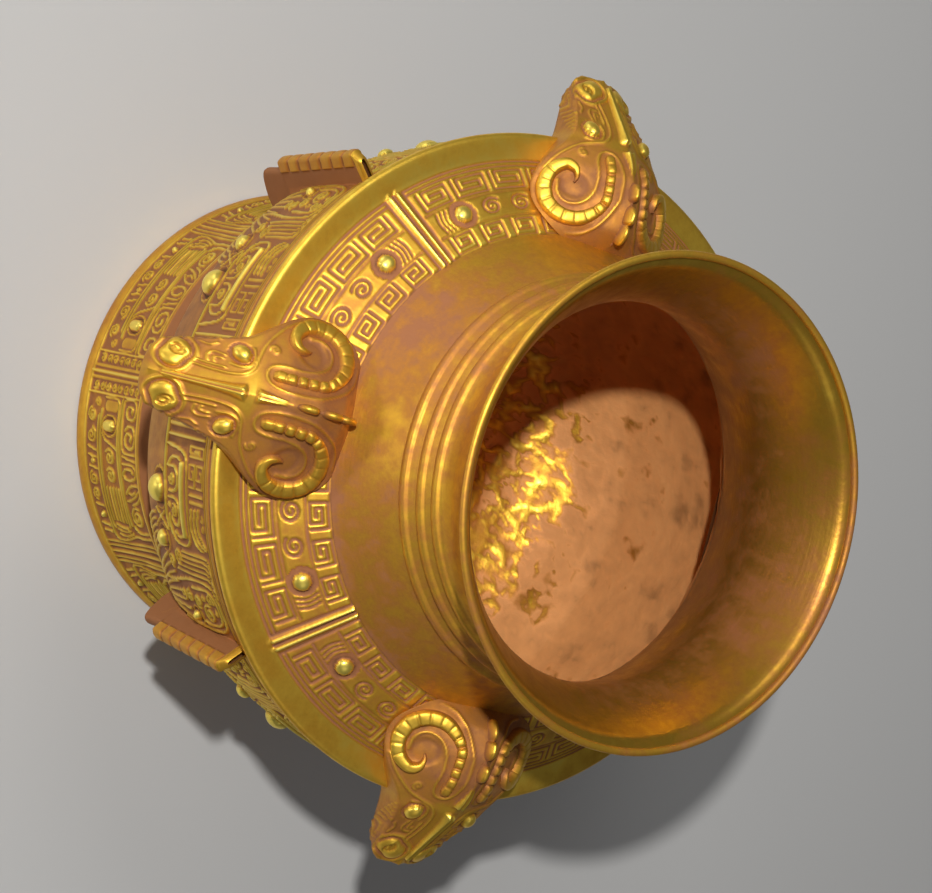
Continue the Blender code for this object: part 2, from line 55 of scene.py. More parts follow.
def wax_skin(runs, columns, drawn_at=None):
    """Turned skin: rows along an outline of (radius, height) runs, columns over an eighth of a turn.

    h is the relief in mm and rub the extra rubbing and painted shade; mm round the jar are measured at
    radius drawn_at.
    """
    rows = []
    for outline, pitch in runs:
        outline = np.array(outline, float)
        along = np.concatenate([[0], np.cumsum(np.hypot(*np.diff(outline, axis=0).T))])
        steps = np.linspace(0, along[-1], max(int(round(along[-1] / pitch)), 1) + 1)
        run = np.column_stack([np.interp(steps, along, outline[:, k]) for k in (0, 1)])
        rows.append(run if not rows else run[1:])
    line = np.vstack(rows)
    s = np.concatenate([[0], np.cumsum(np.hypot(*np.diff(line, axis=0).T))])
    dr, dz = np.gradient(line[:, 0], s), np.gradient(line[:, 1], s)
    size = np.hypot(dr, dz)
    shape = (len(line), columns + 1)
    return {"r": line[:, 0], "z": line[:, 1], "s": s, "out_r": dz / size, "out_z": -dr / size,
            "turn": np.linspace(0, 45, columns + 1), "drawn_at": drawn_at,
            "h": np.zeros(shape), "rub_and_shade": np.zeros(shape)}


def smooth(share):
    """Ease a share from 0 to 1."""
    share = np.clip(share, 0, 1)
    return share * share * (3 - 2 * share)


def near_line(skin, line, reach):
    """For each stretch of a line of (mm round, mm along): the skin near it, and how far off it is."""
    scale = math.pi / 180
    for (x0, s0), (x1, s1) in zip(line, line[1:]):
        if "plan" in skin:
            across, along = skin["plan"]
            window = np.nonzero((across > min(x0, x1) - reach) & (across < max(x0, x1) + reach)
                                & (along > min(s0, s1) - reach) & (along < max(s0, s1) + reach))
            across, along, ax, bx = across[window], along[window], x0, x1
        else:
            rows = np.flatnonzero((skin["s"] > min(s0, s1) - reach) & (skin["s"] < max(s0, s1) + reach))
            k = skin["r"][rows] * scale
            unit = skin["drawn_at"] * scale
            widest = reach / k.min() if len(rows) else 0
            columns = np.flatnonzero((skin["turn"] > min(x0, x1) / unit - widest)
                                     & (skin["turn"] < max(x0, x1) / unit + widest))
            window = np.ix_(rows, columns)
            across = skin["turn"][columns][None, :] * k[:, None]
            along = skin["s"][rows][:, None]
            ax, bx = (x0 / unit * k)[:, None], (x1 / unit * k)[:, None]
        if not across.size:
            continue
        run_x, run_s = bx - ax, s1 - s0
        share = ((across - ax) * run_x + (along - s0) * run_s) / (run_x**2 + run_s**2 + 1e-9)
        share = np.clip(share, 0, 1)
        yield window, np.hypot(across - ax - share * run_x, along - s0 - share * run_s)


def lay_thread(skin, line, width=1.25, height=0.95, level=0.0, edge=0.75):
    """Raised thread with soft shoulders, laid on the skin."""
    for window, distance in near_line(skin, line, width / 2 + edge):
        lift = level + height * smooth((width / 2 + edge / 2 - distance) / edge)
        lift = np.where(distance < width / 2 + edge / 2, lift, -9)
        skin["h"][window] = np.maximum(skin["h"][window], lift)


def set_boss(skin, x, s, radius, height, tall=0.0, moat=0.0, level=0.0, rub_and_shade=0.16):
    """Round or upright oval boss, with a sunk ring round it if asked."""
    for window, distance in near_line(skin, [(x, s - tall), (x, s + tall + 0.01)], radius + moat + 1):
        dome = level + height * np.sqrt(np.clip(1 - (distance / radius) ** 2, 0, 1))
        ring = (distance > radius - 0.3) & (distance < radius + moat)
        skin["h"][window] = np.where(distance < radius, dome, skin["h"][window])
        if moat:
            skin["h"][window] = np.where(ring, np.minimum(skin["h"][window], level - 0.5),
                                         skin["h"][window])
        skin["rub_and_shade"][window] = np.where(distance < radius, rub_and_shade, skin["rub_and_shade"][window])


def scroll(x, s, radius, start=0, turns=1.6, squash=1.0, end=0.14):
    """Points of a spiral that winds inward."""
    count = int(14 * abs(turns)) + 2
    shares = [k / count for k in range(count + 1)]
    points = []
    for share in shares:
        angle = math.radians(start + 360 * turns * share)
        size = radius * (1 - (1 - end) * share)
        points.append((x + size * math.cos(angle), s + squash * size * math.sin(angle)))
    return points


def smooth_curve(points, count=10):
    """Smooth line through a few points."""
    ends = [points[0]] + list(points) + [points[-1]]
    line = []
    for a, b, c, d in zip(ends, ends[1:], ends[2:], ends[3:]):
        for k in range(count):
            t = k / count
            line.append(tuple(0.5 * (2 * q + (r - p) * t + (2 * p - 5 * q + 4 * r - w) * t**2
                                     + (3 * q - p - 3 * r + w) * t**3)
                              for p, q, r, w in zip(a, b, c, d)))
    return line + [tuple(points[-1])]


def feathers(first, last, count):
    """Lines that lie evenly between two smooth lines, like the barbs of a feather."""
    first, last = np.array(smooth_curve(first, 8)), np.array(smooth_curve(last, 8))
    return [[tuple(p) for p in first + (last - first) * k / (count - 1)] for k in range(count)]


def fill_ground(skin, x_range, s_range, sizes, seed, level=0.0, height=0.7):
    """Small thunder scrolls wherever the ground is still bare."""
    chance = np.random.default_rng(seed)
    scale = math.pi / 180
    for size in sizes:
        for s in np.arange(s_range[0] + size, s_range[1] - size, size * 0.5):
            for x in np.arange(x_range[0] + size, x_range[1] - size, size * 0.5):
                row = np.abs(skin["s"] - s) < size + 0.9
                k = skin["r"][np.argmin(np.abs(skin["s"] - s))] * scale
                turn = np.abs(skin["turn"] * k - x * k / (skin["drawn_at"] * scale)) < size + 0.9
                if skin["h"][np.ix_(row, turn)].max() > level + 0.12:
                    continue
                way = 1 if chance.random() < 0.5 else -1
                turns = way * (1.9 if size > 3.5 else 1.4 if size > 2.3 else 1.05)
                lay_thread(skin, scroll(x, s, size - 0.3, chance.integers(0, 4) * 90, turns), 1.05,
                           height, level)


def full_turn(eighth):
    """Mirror half a quarter and repeat it all the way round."""
    quarter = np.hstack([eighth, eighth[:, -2:0:-1]])
    return np.tile(quarter, (1, 4))


def angles_round(columns):
    """Angles of a skin's columns; the first one is the middle of the front head."""
    return np.radians(np.arange(columns) * 360 / columns - 90)


def blurred(field, cells):
    """Field averaged over its neighbours, going round at the sides."""
    for axis in (0, 1):
        total = np.zeros_like(field)
        for shift in range(-cells, cells + 1):
            if axis == 1:
                total += np.roll(field, shift, 1)
            else:
                rows = np.clip(np.arange(field.shape[0]) + shift, 0, field.shape[0] - 1)
                total += field[rows]
        field = total / (2 * cells + 1)
    return field


def metal_mesh(name, points, faces, wear_and_shade):
    """Smooth mesh in metres from mm points, with how far each point is rubbed bright or darkened as
    painted shade.
    """
    mesh = bpy.data.meshes.new(name)
    points = np.asarray(points, np.float32) / 1000
    faces = np.asarray(faces, np.int32)
    mesh.vertices.add(len(points))
    mesh.vertices.foreach_set("co", points.ravel())
    mesh.loops.add(faces.size)
    mesh.loops.foreach_set("vertex_index", faces.ravel())
    mesh.polygons.add(len(faces))
    mesh.polygons.foreach_set("loop_start", np.arange(0, faces.size, faces.shape[1], dtype=np.int32))
    mesh.update(calc_edges=True)
    mesh.shade_smooth()
    value = mesh.attributes.new("wear_and_shade", "FLOAT", "POINT")
    value.data.foreach_set("value", np.asarray(wear_and_shade, np.float32).ravel())
    piece = bpy.data.objects.new(name, mesh)
    bpy.context.scene.collection.objects.link(piece)
    return piece


def grid_faces(rows, columns, closed=True):
    """Four-sided faces of a grid whose columns run round the jar."""
    widths = columns if closed else columns - 1
    row, column = np.meshgrid(np.arange(rows - 1), np.arange(widths), indexing="ij")
    after = (column + 1) % columns
    low, high = row * columns, (row + 1) * columns
    corners = [low + column, low + after, high + after, high + column]
    return np.stack([c.ravel() for c in corners], 1)


EVEN_RUB, RUB_PER_MM = 0.5, 0.46


def turned_piece(name, skin, lift=None, rows=None):
    """Whole ring of the jar from a skin, with what stands out rubbed brighter and the skin's painted
    shade added.
    """
    height = full_turn(skin["h"])
    if lift is not None:
        height = height + lift(skin, height.shape)
    angle = angles_round(height.shape[1])
    radius = skin["r"][:, None] + skin["out_r"][:, None] * height
    level = skin["z"][:, None] + skin["out_z"][:, None] * height
    points = np.stack([radius * np.cos(angle), radius * np.sin(angle), level], 2)
    wear_and_shade = EVEN_RUB + RUB_PER_MM * (height - blurred(blurred(height, 3), 3)) + full_turn(skin["rub_and_shade"])
    rows = rows or slice(None)
    points, wear_and_shade = points[rows], np.clip(wear_and_shade[rows], 0, 1)
    return metal_mesh(name, points.reshape(-1, 3), grid_faces(*points.shape[:2]), wear_and_shade)


def rubbed_gilding(name, patches=0.16, turned=0.0, pink=0.0, grit=0.12, polish=0.0, painted_shade_tone=1.0,
                   earth=(0.44, 0.17, 0.08)):
    """Gilt bronze: bright where it is rubbed, brown to pinkish red where the patina was left or shade is
    painted in; tone below 1 darkens the gold as painted shade.
    """
    metal = bpy.data.materials.new(name)
    metal.use_nodes = True
    tree = metal.node_tree
    shader = tree.nodes["Principled BSDF"]
    place = tree.nodes.new("ShaderNodeTexCoord").outputs["Object"]

    def node(kind, **settings):
        made = tree.nodes.new(kind)
        for key, value in settings.items():
            if key in made.inputs:
                made.inputs[key].default_value = value
            else:
                setattr(made, key, value)
        return made

    def maths(operation, first, second):
        made = node("ShaderNodeMath", operation=operation)
        for socket, value in zip(made.inputs, (first, second)):
            if isinstance(value, (int, float)):
                socket.default_value = value
            else:
                tree.links.new(value, socket)
        return made.outputs[0]

    def cloud(scale, detail, rough=0.55, where=place):
        made = node("ShaderNodeTexNoise", Scale=scale, Detail=detail, Roughness=rough)
        tree.links.new(where, made.inputs["Vector"])
        return made.outputs["Fac"]

    def ramp(value, stops):
        made = node("ShaderNodeValToRGB")
        tree.links.new(value, made.inputs["Fac"])
        elements = made.color_ramp.elements
        elements[1].position = stops[-1][0]
        for position, colour in stops[1:-1]:
            elements.new(position)
        for element, (position, colour) in zip(elements, stops):
            element.position = position
            element.color = (*colour, 1)
        return made.outputs["Color"]

    wear_and_shade = node("ShaderNodeAttribute", attribute_name="wear_and_shade").outputs["Fac"]
    clouds = maths("ADD", cloud(19, 5, 0.6), cloud(6.5, 2))
    blotch = maths("MULTIPLY", maths("SUBTRACT", clouds, 1.0), 1.5 * patches)
    speck = maths("MULTIPLY", maths("SUBTRACT", cloud(150, 4, 0.65), 0.5), 0.08 + 0.9 * patches)
    level = maths("ADD", maths("ADD", wear_and_shade, blotch), maths("SUBTRACT", speck, pink))
    stops = [(0.0, [0.35 * part for part in earth]), (0.20, [0.85 * part for part in earth]),
             (0.37, earth)]
    for position, gold in ((0.45, (0.52, 0.22, 0.04)), (0.55, (0.70, 0.38, 0.04)),
                           (0.68, (0.92, 0.59, 0.07)), (0.85, (1.0, 0.77, 0.14))):
        stops.append((position, [painted_shade_tone * part for part in gold]))
    colour = ramp(level, stops)
    tree.links.new(colour, shader.inputs["Base Color"])
    metallic = ramp(level, [(0.34, (0.1,) * 3), (0.47, (0.70,) * 3), (0.58, (0.88,) * 3)])
    tree.links.new(metallic, shader.inputs["Metallic"])
    rough = ramp(level, [(0.25, (0.70 - polish,) * 3), (0.50, (0.50 - polish,) * 3),
                         (0.75, (0.38 - polish,) * 3)])
    tree.links.new(rough, shader.inputs["Roughness"])
    shader.inputs["Specular IOR Level"].default_value = 0.22
    bump = node("ShaderNodeBump", Strength=grit, Distance=0.0006)
    tree.links.new(maths("ADD", cloud(420, 3), cloud(90, 3)), bump.inputs["Height"])
    if turned:
        split = node("ShaderNodeSeparateXYZ")
        tree.links.new(place, split.inputs[0])
        x, y, z = split.outputs
        out = maths("SQRT", maths("ADD", maths("POWER", x, 2), maths("POWER", y, 2)), 0)
        rise = maths("SUBTRACT", z, maths("MULTIPLY", out, 0.6))
        join = node("ShaderNodeCombineXYZ")
        for socket, (part, stretch) in zip(join.inputs, ((x, 9), (y, 9), (rise, 700))):
            tree.links.new(maths("MULTIPLY", part, stretch), socket)
        marks = cloud(1.0, 3, 0.6, join.outputs[0])
        strokes = node("ShaderNodeBump", Strength=turned, Distance=0.0004)
        tree.links.new(marks, strokes.inputs["Height"])
        tree.links.new(strokes.outputs[0], bump.inputs["Normal"])
    tree.links.new(bump.outputs[0], shader.inputs["Normal"])
    return metal


def set_in_place(piece, metal):
    """Gild a piece and fix it in place of the plain casting."""
    piece.data.materials.append(metal)
    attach(piece, "root")
    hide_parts("jar")


rim = [(110.2, 0.0), (113.4, 0.0), (114.3, 0.8), (114.3, 5.2), (113.8, FOOT_RIM)]
band = [(float(foot_radius(z)), z) for z in np.linspace(FOOT_RIM + 0.6, FOOT_TOP - 1.5, 30)]
ledge = [(111.2, FOOT_TOP - 0.6), (111.0, FOOT_TOP + 0.4), (108.4, FOOT_TOP + 2.2),
         (GROOVE_RADIUS, FOOT_TOP + 4.2)]
groove = [(GROOVE_RADIUS, FOOT_TOP + 4.2), (GROOVE_RADIUS, 81.0), (107.4, 83.6), (113.2, 87.8),
          (114.6, 88.9)]
foot = wax_skin([(rim, 1.6), ([rim[-1]] + band, 0.78), ([band[-1]] + ledge, 0.9), (groove, 2.6)], 108,
                FOOT_DRAWN_AT)
foot_s = float(np.interp(FOOT_RIM, foot["z"], foot["s"]))


def on_foot(line):
    """Foot drawing, as (mm round from the middle of a head, height), put on the skin."""
    return [(x, z - FOOT_RIM + foot_s) for x, z in line]


def foot_thread(line, width=1.05, height=FOOT_THREAD, edge=0.75):
    """Wax thread of the foot drawing, on its sunk ground."""
    lay_thread(foot, on_foot(line), width, height, FOOT_SUNK, edge)


# Sunk ground, its frame lines and the rib below a head's middle, then the mask as lines of
# (mm round from the rib, height).
ground = (foot["z"] > 7.6) & (foot["z"] < 57.6)
foot["h"][ground] = FOOT_SUNK
for z, width in ((8.2, 1.2), (56.4, 2.0)):
    foot_thread([(-4, z), (92, z)], width)
foot_thread([(0, 8), (0, 56)], 1.6, 1.6, 0.9)
foot_mask = [[(2.8, 9), (2.8, 55)], [(9.8, 9), (9.8, 55)],
             [(35.4, 54.0), (35.6, 46), (33.8, 41.8), (24, 41.2), (13, 41.2), (10.9, 43.2),
              (10.8, 50.5), (13, 53.4), (17.4, 53.2), (19.6, 50.4), (19.0, 45.8), (16.2, 44.4),
              (13.8, 46), (14.2, 49.6), (16.6, 49.4)],
             [(24.8, 44.2), (22.8, 47), (23.2, 51.8), (26.6, 53.8), (31.0, 53.2), (33.0, 49.8),
              (32.0, 45.6), (28.6, 44.4), (26.0, 46.6), (27.2, 50.0), (29.6, 49.2)],
             [(38.6, 54.4), (38.0, 47), (36.9, 41.6)],
             [(40.8, 41.4), (40.4, 48.5), (41.4, 53.0), (43.8, 54.4), (46.6, 52.2), (48.0, 46.6),
              (47.2, 42.6), (44.8, 41.8), (43.0, 44.2), (42.9, 49), (44.6, 50.8)],
             [(50.0, 54.8), (50.2, 50), (51.6, 45.4), (54.8, 41.8)],
             [(52.2, 54.8), (55.4, 50.4), (57.6, 45.4), (58.6, 41.4)],
             [(55.0, 54.8), (58.0, 51.6), (60.0, 46)], [(53.2, 50.6), (54.8, 47.4), (54.2, 44.6)],
             [(73.4, 54.6), (74.4, 49), (74.0, 44), (71.4, 41.4)],
             [(76.4, 54.6), (77.4, 46), (77.2, 39), (79.2, 32), (80.4, 25), (79.4, 20.2), (74, 19.0),
              (60, 18.9), (40, 18.9), (20, 19.1)],
             [(11.0, 39.5), (35, 39.5), (58, 39.4), (71, 39.4)],
             [(11.2, 23.6), (11.0, 32), (12.6, 36.4), (18, 37.3), (34, 37.2), (52, 37.4), (68, 37.2),
              (72.6, 36.4)],
             [(17, 21.6), (28, 21.4), (52, 21.4), (70, 21.4), (74, 22.4)],
             [(34.8, 36.2), (32.8, 31), (30.9, 25.6), (28, 23)], [(36.8, 17.4), (35, 10.4)],
             [(40.0, 17.2), (39.0, 10.4)], [(45.4, 17.2), (44.2, 10.4)], [(63.6, 17.2), (62.6, 10.4)],
             [(73.6, 17.2), (72.2, 10.4)], [(76.8, 17.0), (75.8, 10.4)],
             [(82, 9), (81.8, 30), (80.8, 55)], [(84.4, 9), (84.2, 30), (83.4, 55)]]
for first, last, count in (([(53.4, 35.0), (62, 34.9), (70.4, 34.4)],
                            [(53.4, 23.8), (62, 23.8), (69.6, 23.8)], 5),
                           ([(71.8, 24), (73.4, 29), (73.4, 34)],
                            [(77.2, 24), (77.8, 30), (75.8, 37)], 3)):
    foot_mask += feathers(first, last, count)
for line in foot_mask:
    foot_thread(smooth_curve(line, 6))
# Raised panel, the mask's oval eye in its socket, a round boss, and the large scrolls.
foot_thread([(15.0, 26.6), (15.0, 33.4)], 5.6, 0.7)
eye_x, eye_z = 24.2, 29.4
set_boss(foot, *on_foot([(eye_x, eye_z)])[0], 2.9, 2.5, tall=2.0, moat=1.0, level=FOOT_SUNK)
socket = [(eye_x + 4.9 * math.cos(a), eye_z + 6.6 * math.sin(a))
          for a in np.linspace(0, 2 * math.pi, 30)]
foot_thread(socket, 0.95, 1.1)
set_boss(foot, *on_foot([(68, 14.4)])[0], 1.9, 1.9, moat=0.8, level=FOOT_SUNK)
for x, z, radius, start, turns in ((66.4, 47.4, 5.2, 150, 1.9), (38.9, 29.4, 4.0, 230, -1.6),
                                   (47.6, 29.2, 3.8, 230, -1.6), (20.0, 13.4, 3.3, 200, 1.6),
                                   (29.8, 13.6, 3.7, 170, -1.7), (50.2, 13.4, 3.5, 200, 1.7),
                                   (57.4, 13.6, 3.1, 0, -1.5), (42.2, 14.0, 1.6, 90, 1.0)):
    foot_thread(scroll(x, z, radius, start, turns))
# A chain of small scrolls beside the rib, the divider below the flange, and the filled ground. The
# groove above is darkened: partly its brown patina, partly painted shade in the recess.
for number in range(8):
    turns = 1.3 if number % 2 else -1.3
    foot_thread(scroll(6.3, 51.6 - 5.5 * number, 2.3, 200 * number, turns), 0.95, 1.1)
foot_thread([(87.57, 9), (87.57, 56)], 1.5, 1.1)
(_, ground_low), (_, ground_high) = on_foot([(0, 9.5), (0, 55.5)])
fill_ground(foot, (10.5, 82), (ground_low, ground_high), (2.5, 1.8), 4, FOOT_SUNK)
foot["rub_and_shade"][(foot["z"] > 60.8) & (foot["z"] < 88)] -= 0.2
foot["rub_and_shade"][foot["z"] < 8] += 0.02
gilt_relief = rubbed_gilding("gilt relief", patches=0.12, pink=0.02, earth=(0.31, 0.12, 0.04))
set_in_place(turned_piece("foot_ring", foot), gilt_relief)


# The belly is cast in one with the foot. A mask is centred on each flange, in wax threads, long bars
# and feathered lines on a sunk ground, with domed studs below it. Painted shade darkens the recess under
# the shoulder's edge and, a little, the lower belly; the raised lines are rubbed bright.
BELLY_FOOT, BELLY_RISE = 90.0, 80.0
BELLY_FOOT_RADIUS, BELLY_BULGE = 114.5, 24.1
BELLY_DRAWN_AT = 136.0
BELLY_SUNK = -1.0
BELLY_SPLIT = 136


def belly_radius(z):
    """Outside of the belly in mm, a quarter of an ellipse."""
    share = np.clip((np.asarray(z) - BELLY_FOOT) / BELLY_RISE, 0.0, 1.0)
    return BELLY_FOOT_RADIUS + BELLY_BULGE * np.sqrt(share * (2.0 - share))


wall_z = BELLY_FOOT + 1.2 + BELLY_RISE * (1 - np.cos(np.linspace(0.1, 1.57, 60)))
wall = [(float(belly_radius(z)), z) for z in wall_z]
recess = [(139.2, 182.4), (140.1, 183.5), (139.0, 184.9), (137.8, 186.2), (137.7, 189.6)]
low_wall = [point for point in wall if point[1] < BELLY_SPLIT]
high_wall = [point for point in wall if point[1] >= BELLY_SPLIT]
belly = wax_skin([([(114.6, 88.9), (115.5, 90.2), (116.6, 91.2), wall[0]], 1.0), (low_wall, 1.12),
                  ([low_wall[-1]] + high_wall, 0.76), ([wall[-1]] + recess, 0.9)], 132, BELLY_DRAWN_AT)


def on_belly(line):
    """Belly drawing, as (degrees from the middle of a head, height), put on the skin."""
    return [(turn * math.pi / 180 * BELLY_DRAWN_AT, float(np.interp(z, belly["z"], belly["s"])))
            for turn, z in line]


def square_spiral(x0, x1, s0, s1, step_x, step_s):
    """Two turns of a squared spiral filling one cell."""
    return [(x1, s0), (x1, s1), (x0, s1), (x0, s0), (x1 - step_x, s0), (x1 - step_x, s1 - step_s),
            (x0 + step_x, s1 - step_s), (x0 + step_x, s0 + step_s), (x1 - 2 * step_x, s0 + step_s)]


# Sunk ground, the frame lines under the sharp edge and the mask's brow bar.
belly["h"][(belly["z"] > 94.0) & (belly["z"] < 181.5)] = BELLY_SUNK
for z in (180.7, 178.9):
    lay_thread(belly, on_belly([(-2, z), (47, z)]), 0.95, 1.15, BELLY_SUNK)
lay_thread(belly, on_belly([(-2, 139.8), (23.4, 139.8), (25.2, 141.4)]), 1.1, 1.2, BELLY_SUNK)
lay_thread(belly, on_belly([(13.6, 158.7), (25.7, 159.2)]), 2.5, 2.1, BELLY_SUNK, 0.9)
# The panel round the mask's eye, the wing over it and the arch beside the flange.
panel = [[(10.6, 141.2), (10.9, 150), (11.6, 158.6), (13.4, 162.1), (20, 162.6), (25.4, 162.4),
          (27.3, 159.8), (27.7, 153.6), (27.1, 147.4), (25.4, 144.2), (22.8, 143.4)],
         [(14.4, 142.6), (12.9, 146.6), (12.6, 152.4), (13.1, 156.2)],
         [(25.9, 156.8), (26.4, 152), (25.6, 148.4)],
         [(14.4, 143.4), (14.3, 149.6), (15.4, 153.2), (17.4, 153.2), (18.5, 149.6), (18.6, 144.2)],
         [(19.8, 143.4), (19.7, 150.0), (20.8, 153.6), (22.6, 154.2), (24.2, 152.2), (24.3, 148.4),
          (23.0, 146.4)]]
wing = [[(20.6, 172.4), (23.2, 171.0), (25.4, 172.6), (26.9, 177.4)],
        [(20.7, 169.2), (23.6, 168.0), (26.2, 170.4), (27.3, 176.6)],
        [(20.8, 166.0), (24.0, 165.0), (26.7, 167.8), (27.7, 172.4)]]
arch = [[(36.6, 120), (35.0, 140), (34.0, 152), (33.9, 167), (35.0, 173.4), (38.2, 175.6),
         (41.4, 174.2), (42.9, 168.6), (43.3, 158), (43.5, 146), (43.6, 128)],
        [(35.6, 152), (35.2, 166), (36.2, 171.2), (38.4, 173.0), (40.7, 171.6), (41.9, 166.6),
         (42.2, 158), (42.0, 153.6)],
        [(25.8, 139.4), (24.0, 132), (22.8, 126)], [(22.9, 136.8), (24.4, 130.6), (25.8, 124.6)]]
for line in panel + wing + arch:
    lay_thread(belly, on_belly(smooth_curve(line, 8)), 1.1, 1.2, BELLY_SUNK)
for turn, z, radius, start, turns in ((16.4, 147.6, 2.9, 270, 1.5), (22.0, 149.2, 2.9, 200, -1.5),
                                      (36.9, 167.2, 3.0, 60, 1.4), (39.9, 162.4, 4.4, 150, 1.7),
                                      (38.0, 154.6, 3.2, 0, -1.5), (37.6, 146.6, 2.9, 180, 1.5),
                                      (30.4, 146.2, 3.6, 90, 1.8), (31.6, 137.0, 3.2, 0, -1.6),
                                      (37.8, 139.6, 2.6, 0, 1.4)):
    lay_thread(belly, scroll(*on_belly([(turn, z)])[0], radius, start, turns), 1.1, 1.2, BELLY_SUNK)
# Squared spirals in cells beside the head, and the feathered bars.
for x0, x1, z0, z1 in ((13.2, 17.0, 171.4, 177.3), (13.2, 17.0, 164.6, 169.4),
                       (10.2, 12.0, 164.6, 177.3)):
    cell = square_spiral(x0, x1, z0, z1, (x1 - x0) / 3, (z1 - z0) / 3)
    lay_thread(belly, on_belly(cell), 0.85, 0.95, BELLY_SUNK, 0.6)
for first, last, count in (([(18.3, 164.8), (18.3, 177.2)], [(19.6, 164.8), (19.6, 177.2)], 2),
                           ([(1.5, 142), (1.5, 177)], [(8.8, 142), (8.8, 177)], 5),
                           ([(28.9, 151), (28.9, 160), (28.9, 172), (29.8, 176.6), (33.0, 177.6)],
                            [(32.7, 142), (32.7, 154), (32.7, 170), (33.6, 174.8), (36.0, 176.9)], 5),
                           ([(30.6, 133), (33.0, 121), (37.0, 107), (42.2, 96.5)],
                            [(42.6, 141), (42.6, 128), (42.8, 114), (43.4, 100)], 8),
                           ([(24.0, 122), (24.8, 114), (27.2, 104), (31, 96.5)],
                            [(29.8, 125), (31.2, 116), (34.6, 105), (39.6, 96.5)], 6)):
    for line in feathers(first, last, count):
        lay_thread(belly, on_belly(line), 1.0, 1.2, BELLY_SUNK)
# Domed studs in their rings, and the filled ground. The ring is made as a lower and an upper piece.
for turn, z, radius, height, ring in ((18.9, 132.2, 6.2, 4.2, 9.0), (28.0, 131.6, 4.0, 2.6, 6.2),
                                      (41.3, 148.0, 2.6, 2.2, 4.2)):
    x, s = on_belly([(turn, z)])[0]
    lay_thread(belly, scroll(x, s, ring, 0, 1.0, 1.0, 1.0), 0.9, 0.9, BELLY_SUNK)
    set_boss(belly, x, s, radius, height - BELLY_SUNK, moat=0.8, level=BELLY_SUNK)
(_, ground_low), (_, ground_high) = on_belly([(0, 141), (0, 178.6)])
fill_ground(belly, (25, 103), (ground_low, ground_high), (2.4, 1.9), 9, BELLY_SUNK, 0.85)
# Painted shade: darker in the recess under the shoulder's edge, and a little darker on the lower belly.
belly["rub_and_shade"][belly["z"] > 184.5] -= 0.2
belly["rub_and_shade"][belly["z"] < 139] -= 0.04
split_row = int(np.argmin(np.abs(belly["z"] - BELLY_SPLIT)))
for name, rows in (("lower_belly", slice(0, split_row + 1)), ("upper_belly", slice(split_row, None))):
    set_in_place(turned_piece(name, belly, rows=rows), gilt_relief)


# The shoulder slopes in from a sharp rounded edge. A level border, rubbed bright, lies outside a band
# of squared thunder spirals in three rows. They were cut into the wax as grooves, with an eye on
# either side of each divider.
BAND_OUTER, BAND_INNER = 131.8, 101.0
SHOULDER, SHOULDER_TOP = 195.0, 214.1
edge = [(137.7, 189.6), (139.4, 189.9), (141.6, 190.6), (142.6, 191.6), (142.8, 192.8), (142.4, 194.0),
        (141.4, 194.8), (140.2, 195.0)]
border = [(140.2, 195.0), (BAND_OUTER + 0.4, SHOULDER)]
slope = [(BAND_OUTER + 0.4, SHOULDER), (BAND_INNER, SHOULDER_TOP)]
shoulder = wax_skin([(edge, 0.9), (border, 2.0), (slope, 0.66)], 140, BAND_OUTER)
shoulder_s = float(shoulder["s"][-1] - math.hypot(BAND_OUTER - BAND_INNER, SHOULDER_TOP - SHOULDER))


def cut_line(skin, line, width=1.0, depth=0.85, level=0.0, edge=0.7):
    """Rounded groove cut into the skin."""
    for window, distance in near_line(skin, line, width / 2 + edge):
        drop = level - depth * smooth((width / 2 + edge / 2 - distance) / edge)
        skin["h"][window] = np.where(distance < width / 2 + edge / 2,
                                     np.minimum(skin["h"][window], drop), skin["h"][window])


def on_shoulder(line):
    """Band drawing, as (degrees from the middle of a head, mm in from the band's outer edge)."""
    return [(turn * math.pi / 180 * BAND_OUTER, s + shoulder_s) for turn, s in line]


# Border lines of the band, the lines between its rows and the end line by the divider.
for s in (0.9, 2.9, 36.0):
    cut_line(shoulder, on_shoulder([(-2, s), (43.0, s)]), 0.9, 0.8)
for s in (14.6, 26.0):
    cut_line(shoulder, on_shoulder([(-2, s), (42.2, s)]), 0.8, 0.5)
cut_line(shoulder, on_shoulder([(43.0, 0.9), (43.0, 36.0)]), 0.85, 0.8)
# Squared spirals in the outer and inner rows, round ones in the middle row, and the eye with its arcs.
for s0, s1, turns, gap in ((4.9, 13.0, (-0.8, 8.0, 16.8, 25.5, 34.2, 42.0), 1.5),
                           (27.6, 34.8, (0.4, 8.8, 17.2, 25.6, 33.8, 42.0), 2.6)):
    for turn0, turn1 in zip(turns, turns[1:]):
        step = (s1 - s0) / 3
        step_turn = step / (math.pi / 180 * (BAND_OUTER - 0.85 * s0))
        cell = square_spiral(turn0 + gap / 2, turn1 - gap / 2, s0, s1, step_turn, step)
        cut_line(shoulder, on_shoulder(cell), 0.95, 0.8)
for turn in (5.6, 12.8, 20.0, 27.2):
    spiral = [(turn + (x - turn) / 1.75, s) for x, s in scroll(turn, 20.3, 4.3, 225, 1.75, 0.94, 0.16)]
    cut_line(shoulder, on_shoulder(spiral), 0.9, 0.8)
eye_turn, eye_mid = 34.6, 20.3
set_boss(shoulder, *on_shoulder([(eye_turn, eye_mid)])[0], 4.0, 2.6, moat=2.4)
for radius in (7.8, 9.7, 11.6):
    spread = math.asin(4.3 / radius)
    arc = [(eye_turn + radius * math.cos(a) / 2.0, eye_mid + radius * math.sin(a))
           for a in np.linspace(-spread, spread, 10)]
    cut_line(shoulder, on_shoulder(arc), 0.85, 0.8)
lay_thread(shoulder, on_shoulder([(44.15, 0.6), (44.15, 35.6)]), 1.5, 1.1, -0.1)
cut_line(shoulder, on_shoulder([(45.0, 0.4), (45.0, 35.8)]), 1.0, 1.0)
